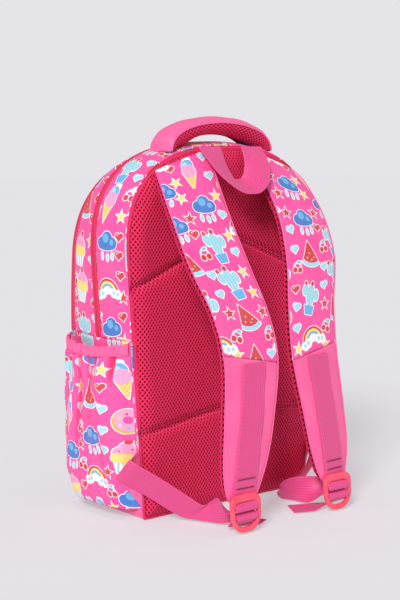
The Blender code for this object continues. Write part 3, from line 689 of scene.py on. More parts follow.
def stitches(name, lines, length=STITCH, gap=0.0014, radius=THREAD):
    """Rows of stitches: each line is a route and the outward directions along it, or one direction for all of it."""
    points, faces = [], []
    for route, normals in lines:
        normals = np.broadcast_to(np.asarray(normals, float), route.shape)
        reach = reach_along(route)
        starts = np.arange(gap, reach[-1] - length, length + gap)
        share = starts[:, None] + np.array([0, 0.5, 1]) * length
        spots, lift = blend_rows(share, reach, route), unit(blend_rows(share, reach, normals))
        head = spots[:, 0] - lift[:, 0] * radius * 0.6
        tail = spots[:, 2] - lift[:, 2] * radius * 0.6
        middle = spots[:, 1]
        across = unit(np.cross(tail - head, lift[:, 1])) * radius
        up = lift[:, 1] * radius
        base = sum(len(p) for p in points)
        points.append(np.stack([head, tail, middle + across, middle + up, middle - across, middle - up], 1)
                      .reshape(-1, 3))
        index = base + np.arange(len(head))[:, None] * 6
        for a, b in ((2, 3), (3, 4), (4, 5), (5, 2)):
            faces.append(index + np.array([0, a, b]))
            faces.append(index + np.array([1, b, a]))
    points = np.vstack(points)
    return mesh_object(name, points, [np.vstack(faces)], THREAD_LOOK, points[:, :2])


def place_normals(place, a, b, step=0.0004):
    """Unit normals of a surface given by a function of two lengths."""
    across = place(a + step, b) - place(a - step, b)
    along = place(a, b + step) - place(a, b - step)
    return unit(np.cross(across, along))


def air_mesh(name, place, reach_a, reach_b, keep, away, half_a=MESH_HALF_A, half_b=MESH_HALF_B):
    """Spacer mesh over a surface: ridges in a diamond net, with a pit in each diamond."""
    count_a = int((reach_a[1] - reach_a[0]) / half_a)
    count_b = int((reach_b[1] - reach_b[0]) / half_b)
    column, row = np.meshgrid(np.arange(1, count_a), np.arange(1, count_b))
    chosen = (column + row) % 2 == 0
    column, row = column[chosen], row[chosen]
    inside = keep(reach_a[0] + column * half_a, reach_b[0] + row * half_b)
    column, row = column[inside], row[inside]
    steps = np.array([(1, 0), (0, 1), (-1, 0), (0, -1)])
    corner = np.stack([column[:, None] + steps[:, 0], row[:, None] + steps[:, 1]], -1)
    keys, index = np.unique(corner.reshape(-1, 2), axis=0, return_inverse=True)
    index = index.reshape(-1, 4)
    cells = len(column)
    middle = np.stack([column, row], -1)[:, None].astype(float)
    rings = [middle + steps * share for share in (0.70, 0.42)]
    flat = np.vstack([keys, *[ring.reshape(-1, 2) for ring in rings]])
    a, b = reach_a[0] + flat[:, 0] * half_a, reach_b[0] + flat[:, 1] * half_b
    points, normals = place(a, b), place_normals(place, a, b)
    if np.sum(normals * (points - away)) < 0:
        normals = -normals
    sink = np.concatenate([np.zeros(len(keys)), np.full(cells * 4, -0.00005), np.full(cells * 4, -MESH_DEPTH)])
    points = points + normals * sink[:, None]
    # How much painted shade each point gets: none on the ridges, a little at the holes' rims, all of it at their
    # bottoms.
    pit_shade = np.concatenate([np.zeros(len(keys)), np.full(cells * 4, 0.25), np.ones(cells * 4)])
    first = len(keys) + np.arange(cells)[:, None] * 4 + np.arange(4)
    second = first + cells * 4
    turned = (np.arange(4) + 1) % 4
    faces = np.vstack([np.stack([one, one[:, turned], two[:, turned], two], -1).reshape(-1, 4)
                       for one, two in ((index, first), (first, second))] + [second])
    faces = outward(points, faces, away)
    return mesh_object(name, points, [faces], AIR_MESH, np.stack([a, b], -1), {"pit_shade": pit_shade})


def ribbon(name, route, across, look, width=WEBBING_WIDTH, ribs=10, thickness=WEBBING, rise=0.00035):
    """A closed band of webbing along a route. across is the direction of its width at each point."""
    route, across = np.asarray(route, float), unit(np.asarray(across, float))
    along = unit(np.gradient(route, axis=0))
    face = unit(np.cross(along, across))
    k = np.linspace(-1, 1, ribs * 4 + 1)
    rib = np.abs(np.sin(np.linspace(0, math.pi * ribs, len(k)))) ** 0.6
    height = thickness / 2 * (1 - 0.35 * np.abs(k) ** 12) + rise * (rib - 1)
    loop_x = np.concatenate([k, k[::-1]]) * width / 2
    loop_h = np.concatenate([height, -height])
    points = route[:, None] + across[:, None] * loop_x[None, :, None] + face[:, None] * loop_h[None, :, None]
    count = len(loop_x)
    uv = np.stack(np.broadcast_arrays(loop_x[None], reach_along(route)[:, None]), -1)
    # How much painted shade each point gets, most in the grooves between the ribs.
    groove_shade = np.broadcast_to(1 - np.concatenate([rib, rib]), (len(route), count))
    faces = outward_loop(points, grid_faces(len(route), count, True))
    caps = [np.arange(count)[None], (np.arange(count) + (len(route) - 1) * count)[None, ::-1]]
    return mesh_object(name, points, [faces, *caps], look, uv.reshape(-1, 2), {"groove_shade": groove_shade})


def outward_loop(points, faces):
    """Faces of a closed tube turned outwards, judged at its first ring."""
    flat = points.reshape(-1, 3)
    first = faces[:points.shape[1]]
    middle = points[:2].mean((0, 1))
    corner = flat[first[:, 0]]
    normal = np.cross(flat[first[:, 1]] - corner, flat[first[:, 2]] - corner)
    return faces if np.sum(normal * (corner - middle)) > 0 else faces[:, ::-1]


def reshape(obj, change):
    """Put a mesh's points where a function of their places says."""
    flat = np.empty(len(obj.data.vertices) * 3)
    obj.data.vertices.foreach_get("co", flat)
    obj.data.vertices.foreach_set("co", change(flat.reshape(-1, 3)).ravel())
    obj.data.update()
    return obj


def closed_loft(name, sections, look):
    """A closed solid through loops of equally many points."""
    rows, count = sections.shape[:2]
    faces = outward_loop(sections, grid_faces(rows, count, True))
    hubs = sections[[0, -1]].mean(1)
    flat = np.vstack([sections.reshape(-1, 3), hubs])
    step = np.arange(count)
    after = (step + 1) % count
    last = (rows - 1) * count
    caps = np.vstack([np.stack([step, after, np.full(count, rows * count)], -1),
                      np.stack([last + after, last + step, np.full(count, rows * count + 1)], -1)])
    return mesh_object(name, flat, [faces, caps], look, flat[:, [0, 2]])


def wear(obj, body, slot, *nodes, end=None):
    """What a piece rides on, and the CAD nodes it stands for, which are hidden; slot is not used. A piece given two
    bodies rides on neither: its place is baked into its mesh.
    """
    if isinstance(body, tuple):
        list(body)
        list(end)
        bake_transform(obj)
    else:
        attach(obj, body)
    if nodes:
        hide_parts(*nodes)
    return obj


# ---------------------------------------------------------------- body panels

FLAP_BLEND = ((0, 0, FLAP_Z), (0, 0, FLAP_BEND_Z))
FOOT = outline_at(FLAP_Z)


def wall(name, low_s, high_s, start, end, look, body, slot, nodes, relief, shift=(0, 0), step=CLOTH_STEP,
         thickness=CLOTH, blend=None, lining=True, groove_shade=None):
    """Part of the sides and top. start and end are distances forward of the back seam, as numbers or by height."""
    columns = int(abs(high_s - low_s) / step) // 2 * 2 + 3
    s = np.linspace(low_s, high_s, columns)[:, None]
    z = np.interp(s, OUTLINE_S, OUTLINE_Z)
    first, last = (edge(z) if callable(edge) else np.full_like(z, edge) for edge in (start, end))
    rows = max(3, int(np.max(last - first) / step) + 2)
    k = np.linspace(0, 1, rows)[None]
    distance = first + (last - first) * k
    s = np.broadcast_to(s, distance.shape)
    points = skin(s, distance, relief(s, distance, k))
    faces = outward(points.reshape(-1, 3), grid_faces(columns, rows), CENTRE)
    corner_s, corner_d = s.reshape(-1)[faces], distance.reshape(-1)[faces]
    side = np.where(corner_s.mean(1, keepdims=True) > 0, -1.0, 1.0)
    uv = np.stack([corner_d * side + shift[0], shift[1] - np.abs(corner_s)], -1).reshape(-1, 2)
    attributes = {"groove_shade": groove_shade(s, k)} if groove_shade else None
    obj = mesh_object(name, points, [faces], [look, LINING] if lining else look, uv, attributes)
    if lining:
        declare_cut(points)
    thicken(obj, thickness)
    return wear(obj, body, slot, *nodes, end=blend)


def cloth_relief(seed, span, size=0.055, height=0.0009):
    """Uneven cloth that draws in at the seams on both of its edges, span apart."""
    def relief(s, distance, k):
        edge = np.minimum(k, 1 - k) * span
        calm = ease(edge / 0.008)
        return ripple(s, distance, size, seed) * height * calm + seam_dip(edge)
    return relief


def coil(s, k, edge):
    """Height of a zip's tape: its coil of teeth stands along one edge."""
    near = (1 - k) if edge else k
    tooth = 0.75 + 0.25 * np.sin(s * math.tau / ZIP_TOOTH)
    return 0.0011 * np.sqrt(np.maximum(0, 1 - (np.abs(near - 0.12) / 0.20) ** 2)) * tooth


def zip_groove(edge):
    """Where painted shade darkens a zip's grooves: between its teeth and beside its coil."""
    def groove_shade(s, k):
        near = (1 - k) if edge else k
        tooth = 0.5 - 0.5 * np.sin(s * math.tau / ZIP_TOOTH)
        return np.where(near < 0.32, 0.25 + 0.6 * tooth, 0.15 * (near > 0.34) * (near < 0.42)) + 0 * s
    return groove_shade


def from_middle(k):
    """The place across a closed zip, whose coil lies in its middle, as the place across a tape."""
    return np.abs(k - 0.5) * 1.6


def make_body():
    rear_end = ZIP_DISTANCE - TAPE + 0.0004
    wall("rear_panel_cloth", -FOOT, FOOT, 0.0, rear_end, PRINT, "root", "print", ["rear_gusset"],
         cloth_relief(3, rear_end), shift=(0.008, 0.022))
    wall("main_zip_rear", -FOOT, FOOT, ZIP_DISTANCE - TAPE, ZIP_DISTANCE - 0.0001, ZIP, "root", "zip",
         ["main_zip_rear_tape"], lambda s, d, k: coil(s, k, True) - 0.0004, step=0.0005, thickness=0.0008,
         lining=False, groove_shade=zip_groove(True))
    front_start = ZIP_DISTANCE + TAPE - 0.0004

    def before_zip(z):
        return depth(z) - FRONT_ZIP_WIDTH - 0.0006
    wall("mid_panel_cloth", -FOOT, FOOT, front_start, before_zip, PRINT, ("root", "flap"), "print", ["mid_gusset"],
         cloth_relief(8, 0.040), shift=(0.013, 0.006), blend=FLAP_BLEND)
    wall("main_zip_front", -FOOT, FOOT, ZIP_DISTANCE + 0.0001, ZIP_DISTANCE + TAPE, ZIP, ("root", "flap"), "zip",
         ["main_zip_front_tape"], lambda s, d, k: coil(s, k, False) - 0.0004, step=0.0005, thickness=0.0008,
         lining=False, groove_shade=zip_groove(False), blend=FLAP_BLEND)
    wall("second_zip", -FOOT, FOOT, before_zip, lambda z: depth(z) - 0.0002, ZIP, ("root", "flap"), "zip",
         ["front_zip"], lambda s, d, k: coil(s, from_middle(k), False) - 0.0003, step=0.0006, thickness=0.0010,
         lining=False, groove_shade=lambda s, k: zip_groove(False)(s, from_middle(k)), blend=FLAP_BLEND)
    low, high = outline_at(BASE_RIM_Z), outline_at(FLAP_Z)
    for word, side in SIDES:
        wall(f"side_cloth_{word}", side * high, side * low, 0.0, lambda z: depth(z) - 0.0002, PRINT, "root", "print",
             [f"side_wall_{word}"], cloth_relief(11, 0.11), shift=(0.008, 0.022))
    make_front_panel()
    make_lower_front()


def rings_panel(name, low_z, forward, rise, look, shift=(0, 0), inset=0.0006, seed=21):
    """A panel across the whole outline above low_z, crowned by rise towards the front. Rings of points run inwards."""
    foot = outline_at(low_z)
    s = np.linspace(-foot, foot, 260)
    rim = skin(s, forward(np.interp(s, OUTLINE_S, OUTLINE_Z)), -inset)
    bottom = rim[-1] + (rim[0] - rim[-1]) * np.linspace(0, 1, 70)[1:-1, None]
    rim = np.vstack([rim, bottom])
    middle = np.array([0, 0, (low_z + HEIGHT) / 2])
    share = 1 - np.linspace(0, 1, 34)[:, None] ** 1.15 * 0.985
    x = middle[0] + (rim[None, :, 0] - middle[0]) * share
    z = middle[2] + (rim[None, :, 2] - middle[2]) * share
    crown = rise * (1 - share ** 3) * ease((z - low_z) / 0.02)
    crown = crown + ripple(x, z, 0.07, seed) * 0.0007 * ease((1 - share) * 8)
    y = rear_y(z) - forward(z) - crown + 0.0012 * np.exp(-((1 - share) / 0.02) ** 2)
    points = np.stack([x, y, z], -1)
    uv = np.stack([x + shift[0], z + shift[1]], -1)
    rows, columns = points.shape[:2]
    hub = np.vstack([points.reshape(-1, 3), points[-1].mean(0)])
    uv = np.vstack([uv.reshape(-1, 2), uv[-1].mean(0)])
    faces = grid_faces(rows, columns, True)
    step = (rows - 1) * columns + np.arange(columns)
    fan = np.stack([step, (rows - 1) * columns + (np.arange(columns) + 1) % columns,
                    np.full(columns, rows * columns)], -1)
    turned = outward(hub, faces, np.array([0, 0.2, 0.25]))
    if turned is not faces:
        fan = fan[:, ::-1]
    obj = mesh_object(name, hub, [turned, fan], [look, LINING], uv)
    return thicken(obj, CLOTH)


def make_front_panel():
    obj = rings_panel("front_panel_cloth", FLAP_Z + 0.0004, lambda z: depth(z) - 0.0004, 0.0068, PRINT, (0.004, 0.009))
    wear(obj, ("root", "flap"), "print", "front_panel", end=FLAP_BLEND)
    divider = rings_panel("divider_cloth", FLAP_Z + 0.0010, lambda z: depth(z) - 0.0300, 0.0, LINING, inset=0.0042,
                          seed=23)
    wear(divider, ("root", "flap"), "lining", "compartment_divider", end=FLAP_BLEND)


def front_pocket_out(x, z):
    low, high = FRONT_POCKET_Z
    across = np.sqrt(np.maximum(0, 1 - (np.abs(x) / FRONT_POCKET_HALF) ** 4))
    up = (z - low) / (high - low)
    return FRONT_POCKET_PUFF * across * np.minimum(1, np.sin(math.pi / 2 * np.clip(up / 0.35, 0, 1))) * (1 - 0.35 * up)


def make_lower_front():
    z = np.linspace(BASE_RIM_Z, FLAP_Z + 0.0004, 60)[:, None]
    reach = half_width(z) + puff(1, z) - 0.0006
    x = np.linspace(-1, 1, 90)[None] * reach
    z = np.broadcast_to(z, x.shape)
    points = np.stack([x, front_y(z) + 0.0004 - ripple(x, z, 0.08, 5) * 0.0005, z], -1)
    wear(sheet_of("lower_front_cloth", points, np.stack([x + 0.004, z + 0.009], -1), [PRINT, LINING]),
         "root", "print", "lower_front_wall")
    low, high = FRONT_POCKET_Z
    z = np.linspace(low, high, 64)[:, None]
    x = FRONT_POCKET_HALF * np.sin(math.pi / 2 * np.linspace(-1, 1, 90))[None]
    x, z = np.broadcast_arrays(x, z)
    top = ease((z - high + 0.03) / 0.03)
    folds = ripple(x, z * 0.25, 0.035, 17) * 0.0011 * top * (1 - (x / FRONT_POCKET_HALF) ** 2)
    calm = ease((1 - np.abs(x) / FRONT_POCKET_HALF) * 9) * ease((z - low) / 0.02)
    out = front_pocket_out(x, z) + (folds + ripple(x, z, 0.05, 6) * 0.0008) * calm
    points = np.stack([x, front_y(z) - 0.0022 - out, z], -1)
    wear(sheet_of("front_pocket_cloth", points, np.stack([x + 0.004, z + 0.020], -1), [PRINT, LINING]),
         "root", "print", "front_pocket")
    x = np.linspace(-0.94, 0.94, 420)[:, None] * FRONT_POCKET_HALF
    k = np.linspace(0, 1, 15)[None]
    reach = front_pocket_out(x, np.full_like(x, high)) + 0.0030
    y = front_y(high) - 0.0004 - reach * k
    near = from_middle(k)
    rise = coil(x, near, False)
    points = np.stack([np.broadcast_to(x, y.shape), y, high + 0.0012 + rise + 0 * y], -1)
    groove_shade = zip_groove(False)(x, near) + 0 * y
    obj = sheet_of("front_pocket_zip_band", points, np.stack([np.broadcast_to(x, y.shape), y], -1), ZIP, 0.001,
                   attributes={"groove_shade": groove_shade}, held=None)
    wear(obj, "root", "zip", "front_pocket_zip")


def make_base():
    """Plain cloth under the bag and a little way up its sides."""
    rings = []
    for z, inset in ((BASE_RIM_Z + 0.0006, 0.0), (0.009, -0.0004), (0.006, 0.0001), (0.0035, 0.0010), (0.0017, 0.0026),
                     (0.0006, 0.0052), (0.0002, 0.0090), (0.0002, 0.020), (0.0002, 0.045), (0.0002, 0.0538)):
        reach = HALF_WIDTH_BASE + puff(0.5, z) + 0.0004 - inset
        back, front = rear_y(z) - 0.0003, front_y(z) - 0.0004 + inset
        radius = max(0.002, BASE_CORNER - inset)
        turn = np.linspace(0, math.pi / 2, 12)
        leg = np.linspace(back, front + radius, 40)[:-1]
        left = np.vstack([np.stack([np.full_like(leg, reach), leg], -1),
                          np.stack([reach - radius * (1 - np.cos(turn)), front + radius * (1 - np.sin(turn))], -1)])
        span = np.linspace(reach - radius, -(reach - radius), 60)[1:-1]
        row = np.vstack([left, np.stack([span, np.full_like(span, front)], -1), (left * (-1, 1))[::-1]])
        rings.append(np.column_stack([row, np.full(len(row), z)]))
    points = np.array(rings)
    obj = sheet_of("base_cloth", points, points[..., :2], [PLAIN, LINING], away=np.array([0, CENTRE[1], 0.05]))
    wear(obj, "root", "plain", "base_panel")


# ---------------------------------------------------------------- back pad

def edge_distance(x, z):
    """About how far a point of the back is from its outline."""
    high = np.maximum(z - SHOULDER_Z, 0) / (HEIGHT - SHOULDER_Z)
    wide = np.abs(x) / np.where(z > SHOULDER_Z, HALF_WIDTH_TOP, half_width(z))
    gauge = (wide ** ARCH_POWER + high ** ARCH_POWER) ** (1 / ARCH_POWER)
    size = HALF_WIDTH_TOP + (HEIGHT - SHOULDER_Z - HALF_WIDTH_TOP) * np.clip(high / np.maximum(gauge, 1e-6), 0, 1) ** 2
    return np.minimum((1 - gauge) * size, z - 0.0005)


def arch_limit(z):
    """Half the width of the back at a height, up to the arch's top."""
    high = np.maximum(z - SHOULDER_Z, 0) / (HEIGHT - SHOULDER_Z)
    arch = HALF_WIDTH_TOP * np.maximum(1 - high ** ARCH_POWER, 0.002) ** (1 / ARCH_POWER)
    return np.where(z > SHOULDER_Z, arch, half_width(z))


# Each seam across the pad: its height in the middle, how steeply it falls to the sides, and how wide its bend is.
QUILT_SEAMS = ((0.291, 0.42, 0.018), (0.107, 0.15, 0.020))


def quilt_lines(x):
    """Heights of the two seams across the pad."""
    return [middle - slope * (np.sqrt(x ** 2 + bend ** 2) - bend) for middle, slope, bend in QUILT_SEAMS]


def pad_height(x, z):
    """How far the pad stands out towards the wearer."""
    edge = np.clip(edge_distance(x, z), 0, 1)
    roll = np.sin(math.pi / 2 * np.minimum(edge / 0.019, 1)) ** 0.85
    height = PAD_RISE * 1.10 * roll
    for line in quilt_lines(x):
        gap = (z - line) * 0.94
        height = height - (0.0058 * np.exp(-(gap / 0.0045) ** 2) + 0.0016 * np.exp(-(gap / 0.018) ** 2)) * roll
    return height + ripple(x, z, 0.075, 31) * 0.0006 * roll


def pad_place(x, z):
    return np.stack([x, rear_y(z) - 0.0004 + pad_height(x, z), z], -1)


def make_back_pad():
    behind = np.array([0, -0.3, 0.19])
    net = air_mesh("back_mesh", pad_place, (-0.140, 0.140), (0.0, 0.395), lambda a, b: edge_distance(a, b) > 0.0030,
                   behind)
    wear(net, "root", "air_mesh", "back_cover")
    foot = outline_at(0.004)
    s = np.linspace(-foot, foot, 700)
    rim = skin(s, 0.0, -0.0004)[:, [0, 2]]
    floor = np.stack([np.linspace(rim[-1, 0], rim[0, 0], 200)[1:-1], np.full(198, 0.0006)], -1)
    rim = np.vstack([rim, floor])
    inward = unit(np.array([[0.0, 0.19]]) - rim)
    inward[:, 0] = np.where(rim[:, 1] < 0.001, 0, inward[:, 0])
    rows = []
    for k in np.linspace(0, 1, 9):
        spot = rim + inward * 0.0052 * k
        point = pad_place(spot[:, 0], np.maximum(spot[:, 1], 0.0005))
        point[:, 1] -= 0.0020 * ease((k - 0.45) / 0.55)
        rows.append(point)
    points = np.array(rows)
    # The band at the pad's edge is painted all over with part of the holes' shade.
    edge = sheet_of("back_mesh_edge", points, points[..., [0, 2]], AIR_MESH, 0.0010, away=behind, closed=True,
                    attributes={"pit_shade": np.full(points.shape[:2], 0.22)}, held=None)
    wear(edge, "root", "air_mesh")
    x, z = np.meshgrid(np.linspace(-1, 1, 120), np.linspace(0.006, 0.385, 160))
    x = x * (arch_limit(z) - 0.005)
    front = pad_place(x, z)
    front[..., 1] -= 0.0021
    back = front.copy()
    back[..., 1] = rear_y(z) - 0.0046
    rows, columns = z.shape
    flat = np.vstack([front.reshape(-1, 3), back.reshape(-1, 3)])
    one = grid_faces(rows, columns)
    two = one[:, ::-1] + rows * columns
    border = np.concatenate([np.arange(columns), np.arange(1, rows) * columns + columns - 1,
                             (rows - 1) * columns + np.arange(columns - 2, -1, -1),
                             np.arange(rows - 2, 0, -1) * columns])
    after = np.roll(border, -1)
    rim_faces = np.stack([after, border, border + rows * columns, after + rows * columns], -1)
    faces = outward(flat, np.vstack([one, two, rim_faces]), np.array([0, BACK_Y - 0.003, 0.19]))
    core = mesh_object("back_pad_foam", flat, [faces], LINING, flat[:, [0, 2]])
    wear(core, "root", "foam", "back_foam")
    lines = []
    x = np.linspace(-0.122, 0.122, 300)
    for z in quilt_lines(x):
        for shift in (-0.0030, 0.0030):
            route = pad_place(x, z + shift)
            route[:, 1] += 0.0004
            lines.append((route, (0, 1, 0)))
    wear(stitches("back_quilting", lines, length=0.0022, gap=0.0012, radius=0.00045), "root", "air_mesh")
    for node in ("back_board", "base_board"):
        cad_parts[node].data.materials[0] = BOARD


def make_sleeve():
    """The lining over the back's board, and a sleeve on it that is open at its hemmed top."""
    x, z = np.meshgrid(np.linspace(-1, 1, 60), np.linspace(0.010, HEIGHT - 0.0045, 130))
    soft = ripple(x * 0.12, z, 0.06, 35) * 0.0004
    points = np.stack([x * (arch_limit(z) - 0.0024), rear_y(z) - 0.0114 + soft, z], -1)
    lining = sheet_of("back_lining_cloth", points, points[..., [0, 2]], LINING, 0.0006, away=np.array([0, 1.0, 0.2]))
    wear(lining, "root", "lining")
    z = np.linspace(BASE_RIM_Z, SLEEVE_TOP_Z, 90)[:, None]
    x = np.linspace(-SLEEVE_HALF, SLEEVE_HALF, 90)[None]
    x, z = np.broadcast_arrays(x, z)
    near = ease((z - 0.05) / 0.20) * (1 - (x / SLEEVE_HALF) ** 2)
    y = rear_y(z) - 0.0172 - (0.0030 * near + ripple(x, z * 0.4, 0.05, 33) * 0.0010 * near)
    hem = 0.0009 * ((z > SLEEVE_TOP_Z - SLEEVE_HEM) & (z < SLEEVE_TOP_Z - 0.0005))
    points = np.stack([x, y - hem, z], -1)
    sleeve = sheet_of("sleeve_cloth", points, np.stack([x, z], -1), LINING, 0.0010, away=np.array([0, 1.0, 0.13]))
    wear(sleeve, "root", "lining", "inner_sleeve")
    route = points[-8, 3:-3] + [0, -0.0003, 0]
    wear(stitches("sleeve_stitches", [(route, (0, -1, 0))]), "root", "lining")


# ---------------------------------------------------------------- side pockets

POCKET_MOUTH_Z = FLAP_Z - 0.002
POCKET_ROWS, POCKET_COLUMNS = 110, 150
SIM_ROWS, SIM_COLUMNS = 46, 56
SIM_PLEAT = 0.8             # share of the folds that the sewn cloth starts with
SIM_FULLNESS = 0.30         # how much wider the cut is at the mouth
SIM_LENGTH = 1.03
SIM_MASS = 0.006            # of one point; a heavier one would hardly move at this size
SIM_TENSION, SIM_SHEAR, SIM_BENDING = 12, 4, 0.004
SIM_FRAMES = 40
SIM_REACH = (-0.0070, 0.0080)   # how far in and out a point may move


def pocket_out(distance, z, length):
    along = (distance - POCKET_INSET) / length
    rise = np.sqrt(1 - (1 - np.clip((z - 0.002) / 0.045, 0, 1)) ** 2)
    full = rise * (1 - 0.58 * ease((z - 0.080) / 0.105))
    edge = 0.0012 + 0.0018 * ease(np.minimum(along, 1 - along) * 12)
    return edge + POCKET_PUFF * full * np.maximum(0, 1 - np.abs(2 * along ** 1.35 - 1) ** 4), along


# Each fold has its place and width along the mouth (0 at the back), a depth and a length in metres.
PLEATS = ((0.09, 0.016, 0.0012, 0.035), (0.25, 0.036, 0.0034, 0.130), (0.40, 0.020, 0.0020, 0.050),
          (0.50, 0.022, 0.0026, 0.080), (0.63, 0.026, 0.0032, 0.075), (0.74, 0.015, 0.0020, 0.040),
          (0.82, 0.018, 0.0024, 0.060), (0.92, 0.014, 0.0014, 0.040))


def gathers(along, below):
    """Folds that run down from the gathered mouth."""
    total = 0
    for place, width, deep, length in PLEATS:
        drift = place + 0.10 * np.sin(below * 18 + place * 9) * below / 0.1
        gap = (along - drift) / (1.9 * width * (1 + below / 0.08))
        across = np.exp(-gap ** 2) - 0.6 * np.exp(-(gap - 1.5) ** 2)
        total = total + 2.0 * deep * across * np.exp(-(below / length) ** 2)
    return total


def pocket_points(side, low, high, rows, columns, bulge=0.0, pleat=1.0):
    z = np.linspace(low, high, rows)[:, None]
    k = np.linspace(0, 1, columns)[None]
    length = depth(z) - 2 * POCKET_INSET
    distance = POCKET_INSET + length * k
    body, along = pocket_out(distance, z, length)
    calm = ease(np.minimum(along, 1 - along) * 14)
    folds = gathers(along, np.maximum(POCKET_MOUTH_Z - POCKET_BINDING - z, 0)) * pleat
    soft = ripple(distance * side, z, 0.045, 41) * 0.0016 * ease((z - 0.02) / 0.03) * pleat
    sag = 0.0045 * (1 - (2 * along - 1) ** 2) * ease(z / POCKET_MOUTH_Z)
    half = len(OUTLINE_S) // 2
    s = np.interp(sag - z, -OUTLINE_Z[half:], OUTLINE_S[half:]) * side
    out = body + (folds + soft) * calm + bulge + seam_dip(np.minimum(along, 1 - along) * 0.1) * (bulge == 0).all()
    return skin(np.broadcast_to(s, out.shape), distance, out), distance, np.broadcast_to(s, out.shape)


def pocket_cut(top):
    """A left pocket before its cloth settles, and the flat cut it is sewn from, which is wider at the mouth."""
    rows, columns = SIM_ROWS, SIM_COLUMNS
    points, _, _ = pocket_points(1, BASE_RIM_Z, top, rows, columns, np.zeros(1), SIM_PLEAT)
    height = np.linspace(BASE_RIM_Z, top, rows)[:, None]
    steps = np.linalg.norm(np.diff(points, axis=1), axis=-1)
    steps = steps.mean(1, keepdims=True) * (1 + SIM_FULLNESS * ease((height - 0.035) / 0.110))
    across = (np.arange(columns) - (columns - 1) / 2)[None] * steps
    up = np.concatenate([[0], np.cumsum(np.linalg.norm(np.diff(points, axis=0), axis=-1).mean(1))]) * SIM_LENGTH
    return points, np.stack([across, np.zeros_like(across), np.broadcast_to(up[:, None], across.shape)], -1)


def settled_pocket(points, flat):
    """Cloth simulation of a left pocket: how far each point of its grid moves."""
    rows, columns = points.shape[:2]
    faces = outward(points.reshape(-1, 3), grid_faces(rows, columns), CENTRE)
    piece = mesh_object("pocket_simulation", points, [faces], PLAIN)
    piece.shape_key_add(name="sewn")    # the basis, so that the cut can be another shape
    cut = piece.shape_key_add(name="cut")
    cut.data.foreach_set("co", flat.ravel())
    held = piece.vertex_groups.new(name="seam")
    index = np.arange(rows * columns).reshape(rows, columns)
    border = np.unique(np.concatenate([index[0], index[-1], index[:, 0], index[:, -1]]))
    held.add([int(i) for i in border], 1.0, "REPLACE")
    cloth = piece.modifiers.new("cloth", "CLOTH")
    for key, value in {"quality": 8, "mass": SIM_MASS, "tension_stiffness": SIM_TENSION,
                       "compression_stiffness": SIM_TENSION, "shear_stiffness": SIM_SHEAR,
                       "bending_stiffness": SIM_BENDING, "air_damping": 1, "vertex_group_mass": "seam",
                       "rest_shape_key": cut, "use_pressure": True, "uniform_pressure_force": 0}.items():
        setattr(cloth.settings, key, value)
    cloth.settings.effector_weights.gravity = 0
    cloth.point_cache.frame_start, cloth.point_cache.frame_end = 1, SIM_FRAMES
    scene = bpy.context.scene
    for frame_number in range(1, SIM_FRAMES + 1):
        scene.frame_set(frame_number)
    shape = piece.evaluated_get(bpy.context.evaluated_depsgraph_get()).to_mesh()
    after = np.empty(rows * columns * 3)
    shape.vertices.foreach_get("co", after)
    scene.frame_set(1)
    mesh = piece.data
    bpy.data.objects.remove(piece)
    bpy.data.meshes.remove(mesh)
    moved = after.reshape(rows, columns, 3) - points
    normal = unit(np.cross(np.gradient(points, axis=1), np.gradient(points, axis=0)))
    normal *= np.sign(normal[..., :1].mean())   # outwards, which is towards +X on the left
    out = np.sum(moved * normal, -1, keepdims=True)
    return moved + normal * (np.clip(out, *SIM_REACH) - out)


def finer(grid, rows, columns):
    """A grid of moves resampled to more rows and columns, and smoothed."""
    for axis, count in ((0, rows), (1, columns)):
        last = grid.shape[axis] - 1
        place = np.linspace(0, 1, count) * last
        first = np.clip(np.floor(place).astype(int), 0, last - 1)
        t = (place - first).reshape([-1 if i == axis else 1 for i in range(3)])
        grid = cubic(*[np.take(grid, np.clip(first + step, 0, last), axis) for step in (-1, 0, 1, 2)], t)
    return grid


def fold_shade_mask(points, side):
    """How deep each point lies in a fold, from 0 to 1: how far its neighbours stand out past it. It masks the painted
    shade in the folds' valleys.
    """
    reach = near = points[..., 0] * side
    for axis, half in ((1, 14), (0, 2)):
        count = reach.shape[axis]
        near = sum(np.take(near, np.clip(np.arange(count) + step, 0, count - 1), axis)
                   for step in range(-half, half + 1)) / (2 * half + 1)
    column = np.arange(reach.shape[1])
    border = np.minimum(column, column[::-1])[None]
    return np.clip((near - reach - 0.0001) / 0.0020, 0, 1) * ease((border - 4) / 10)


def make_side_pockets():
    top = POCKET_MOUTH_Z - POCKET_BINDING + 0.0006
    sewn, flat = pocket_cut(top)
    moves = finer(settled_pocket(sewn, flat), POCKET_ROWS, POCKET_COLUMNS)
    for word, side in SIDES:
        points, distance, s = pocket_points(side, BASE_RIM_Z, top, POCKET_ROWS, POCKET_COLUMNS, np.zeros(1))
        points = points + moves * np.array([side, 1, 1])
        uv = np.stack([-side * distance * 1.12 + 0.031, 0.052 - np.abs(s)], -1)
        # Each pocket's mesh carries how much painted shade each point in its folds' valleys gets.
        wear(sheet_of(f"pocket_cloth_{word}", points, uv, [PRINT, LINING], held="gathered", cut=flat,
                      attributes={"fold_shade": fold_shade_mask(points, side)}), "root", "print", f"side_pocket_{word}")
        rows = 14
        rise = np.sin(np.linspace(0, math.pi, rows)) ** 0.5 * 0.0011 + 0.0004
        points, distance, s = pocket_points(side, top - 0.0006, POCKET_MOUTH_Z, rows, POCKET_COLUMNS, rise[:, None],
                                            0.45)
        uv = np.stack([-side * distance, -np.abs(s)], -1)
        wear(sheet_of(f"pocket_binding_{word}", points, uv, [PLAIN, PLAIN], 0.0018), "root", "plain",
             f"side_pocket_binding_{word}")
        lines = [(points[row] + [side * 0.0003, 0, 0], (side, 0, 0)) for row in (2, rows - 3)]
        wear(stitches(f"pocket_stitches_{word}", lines), "root", "plain")


# ---------------------------------------------------------------- straps

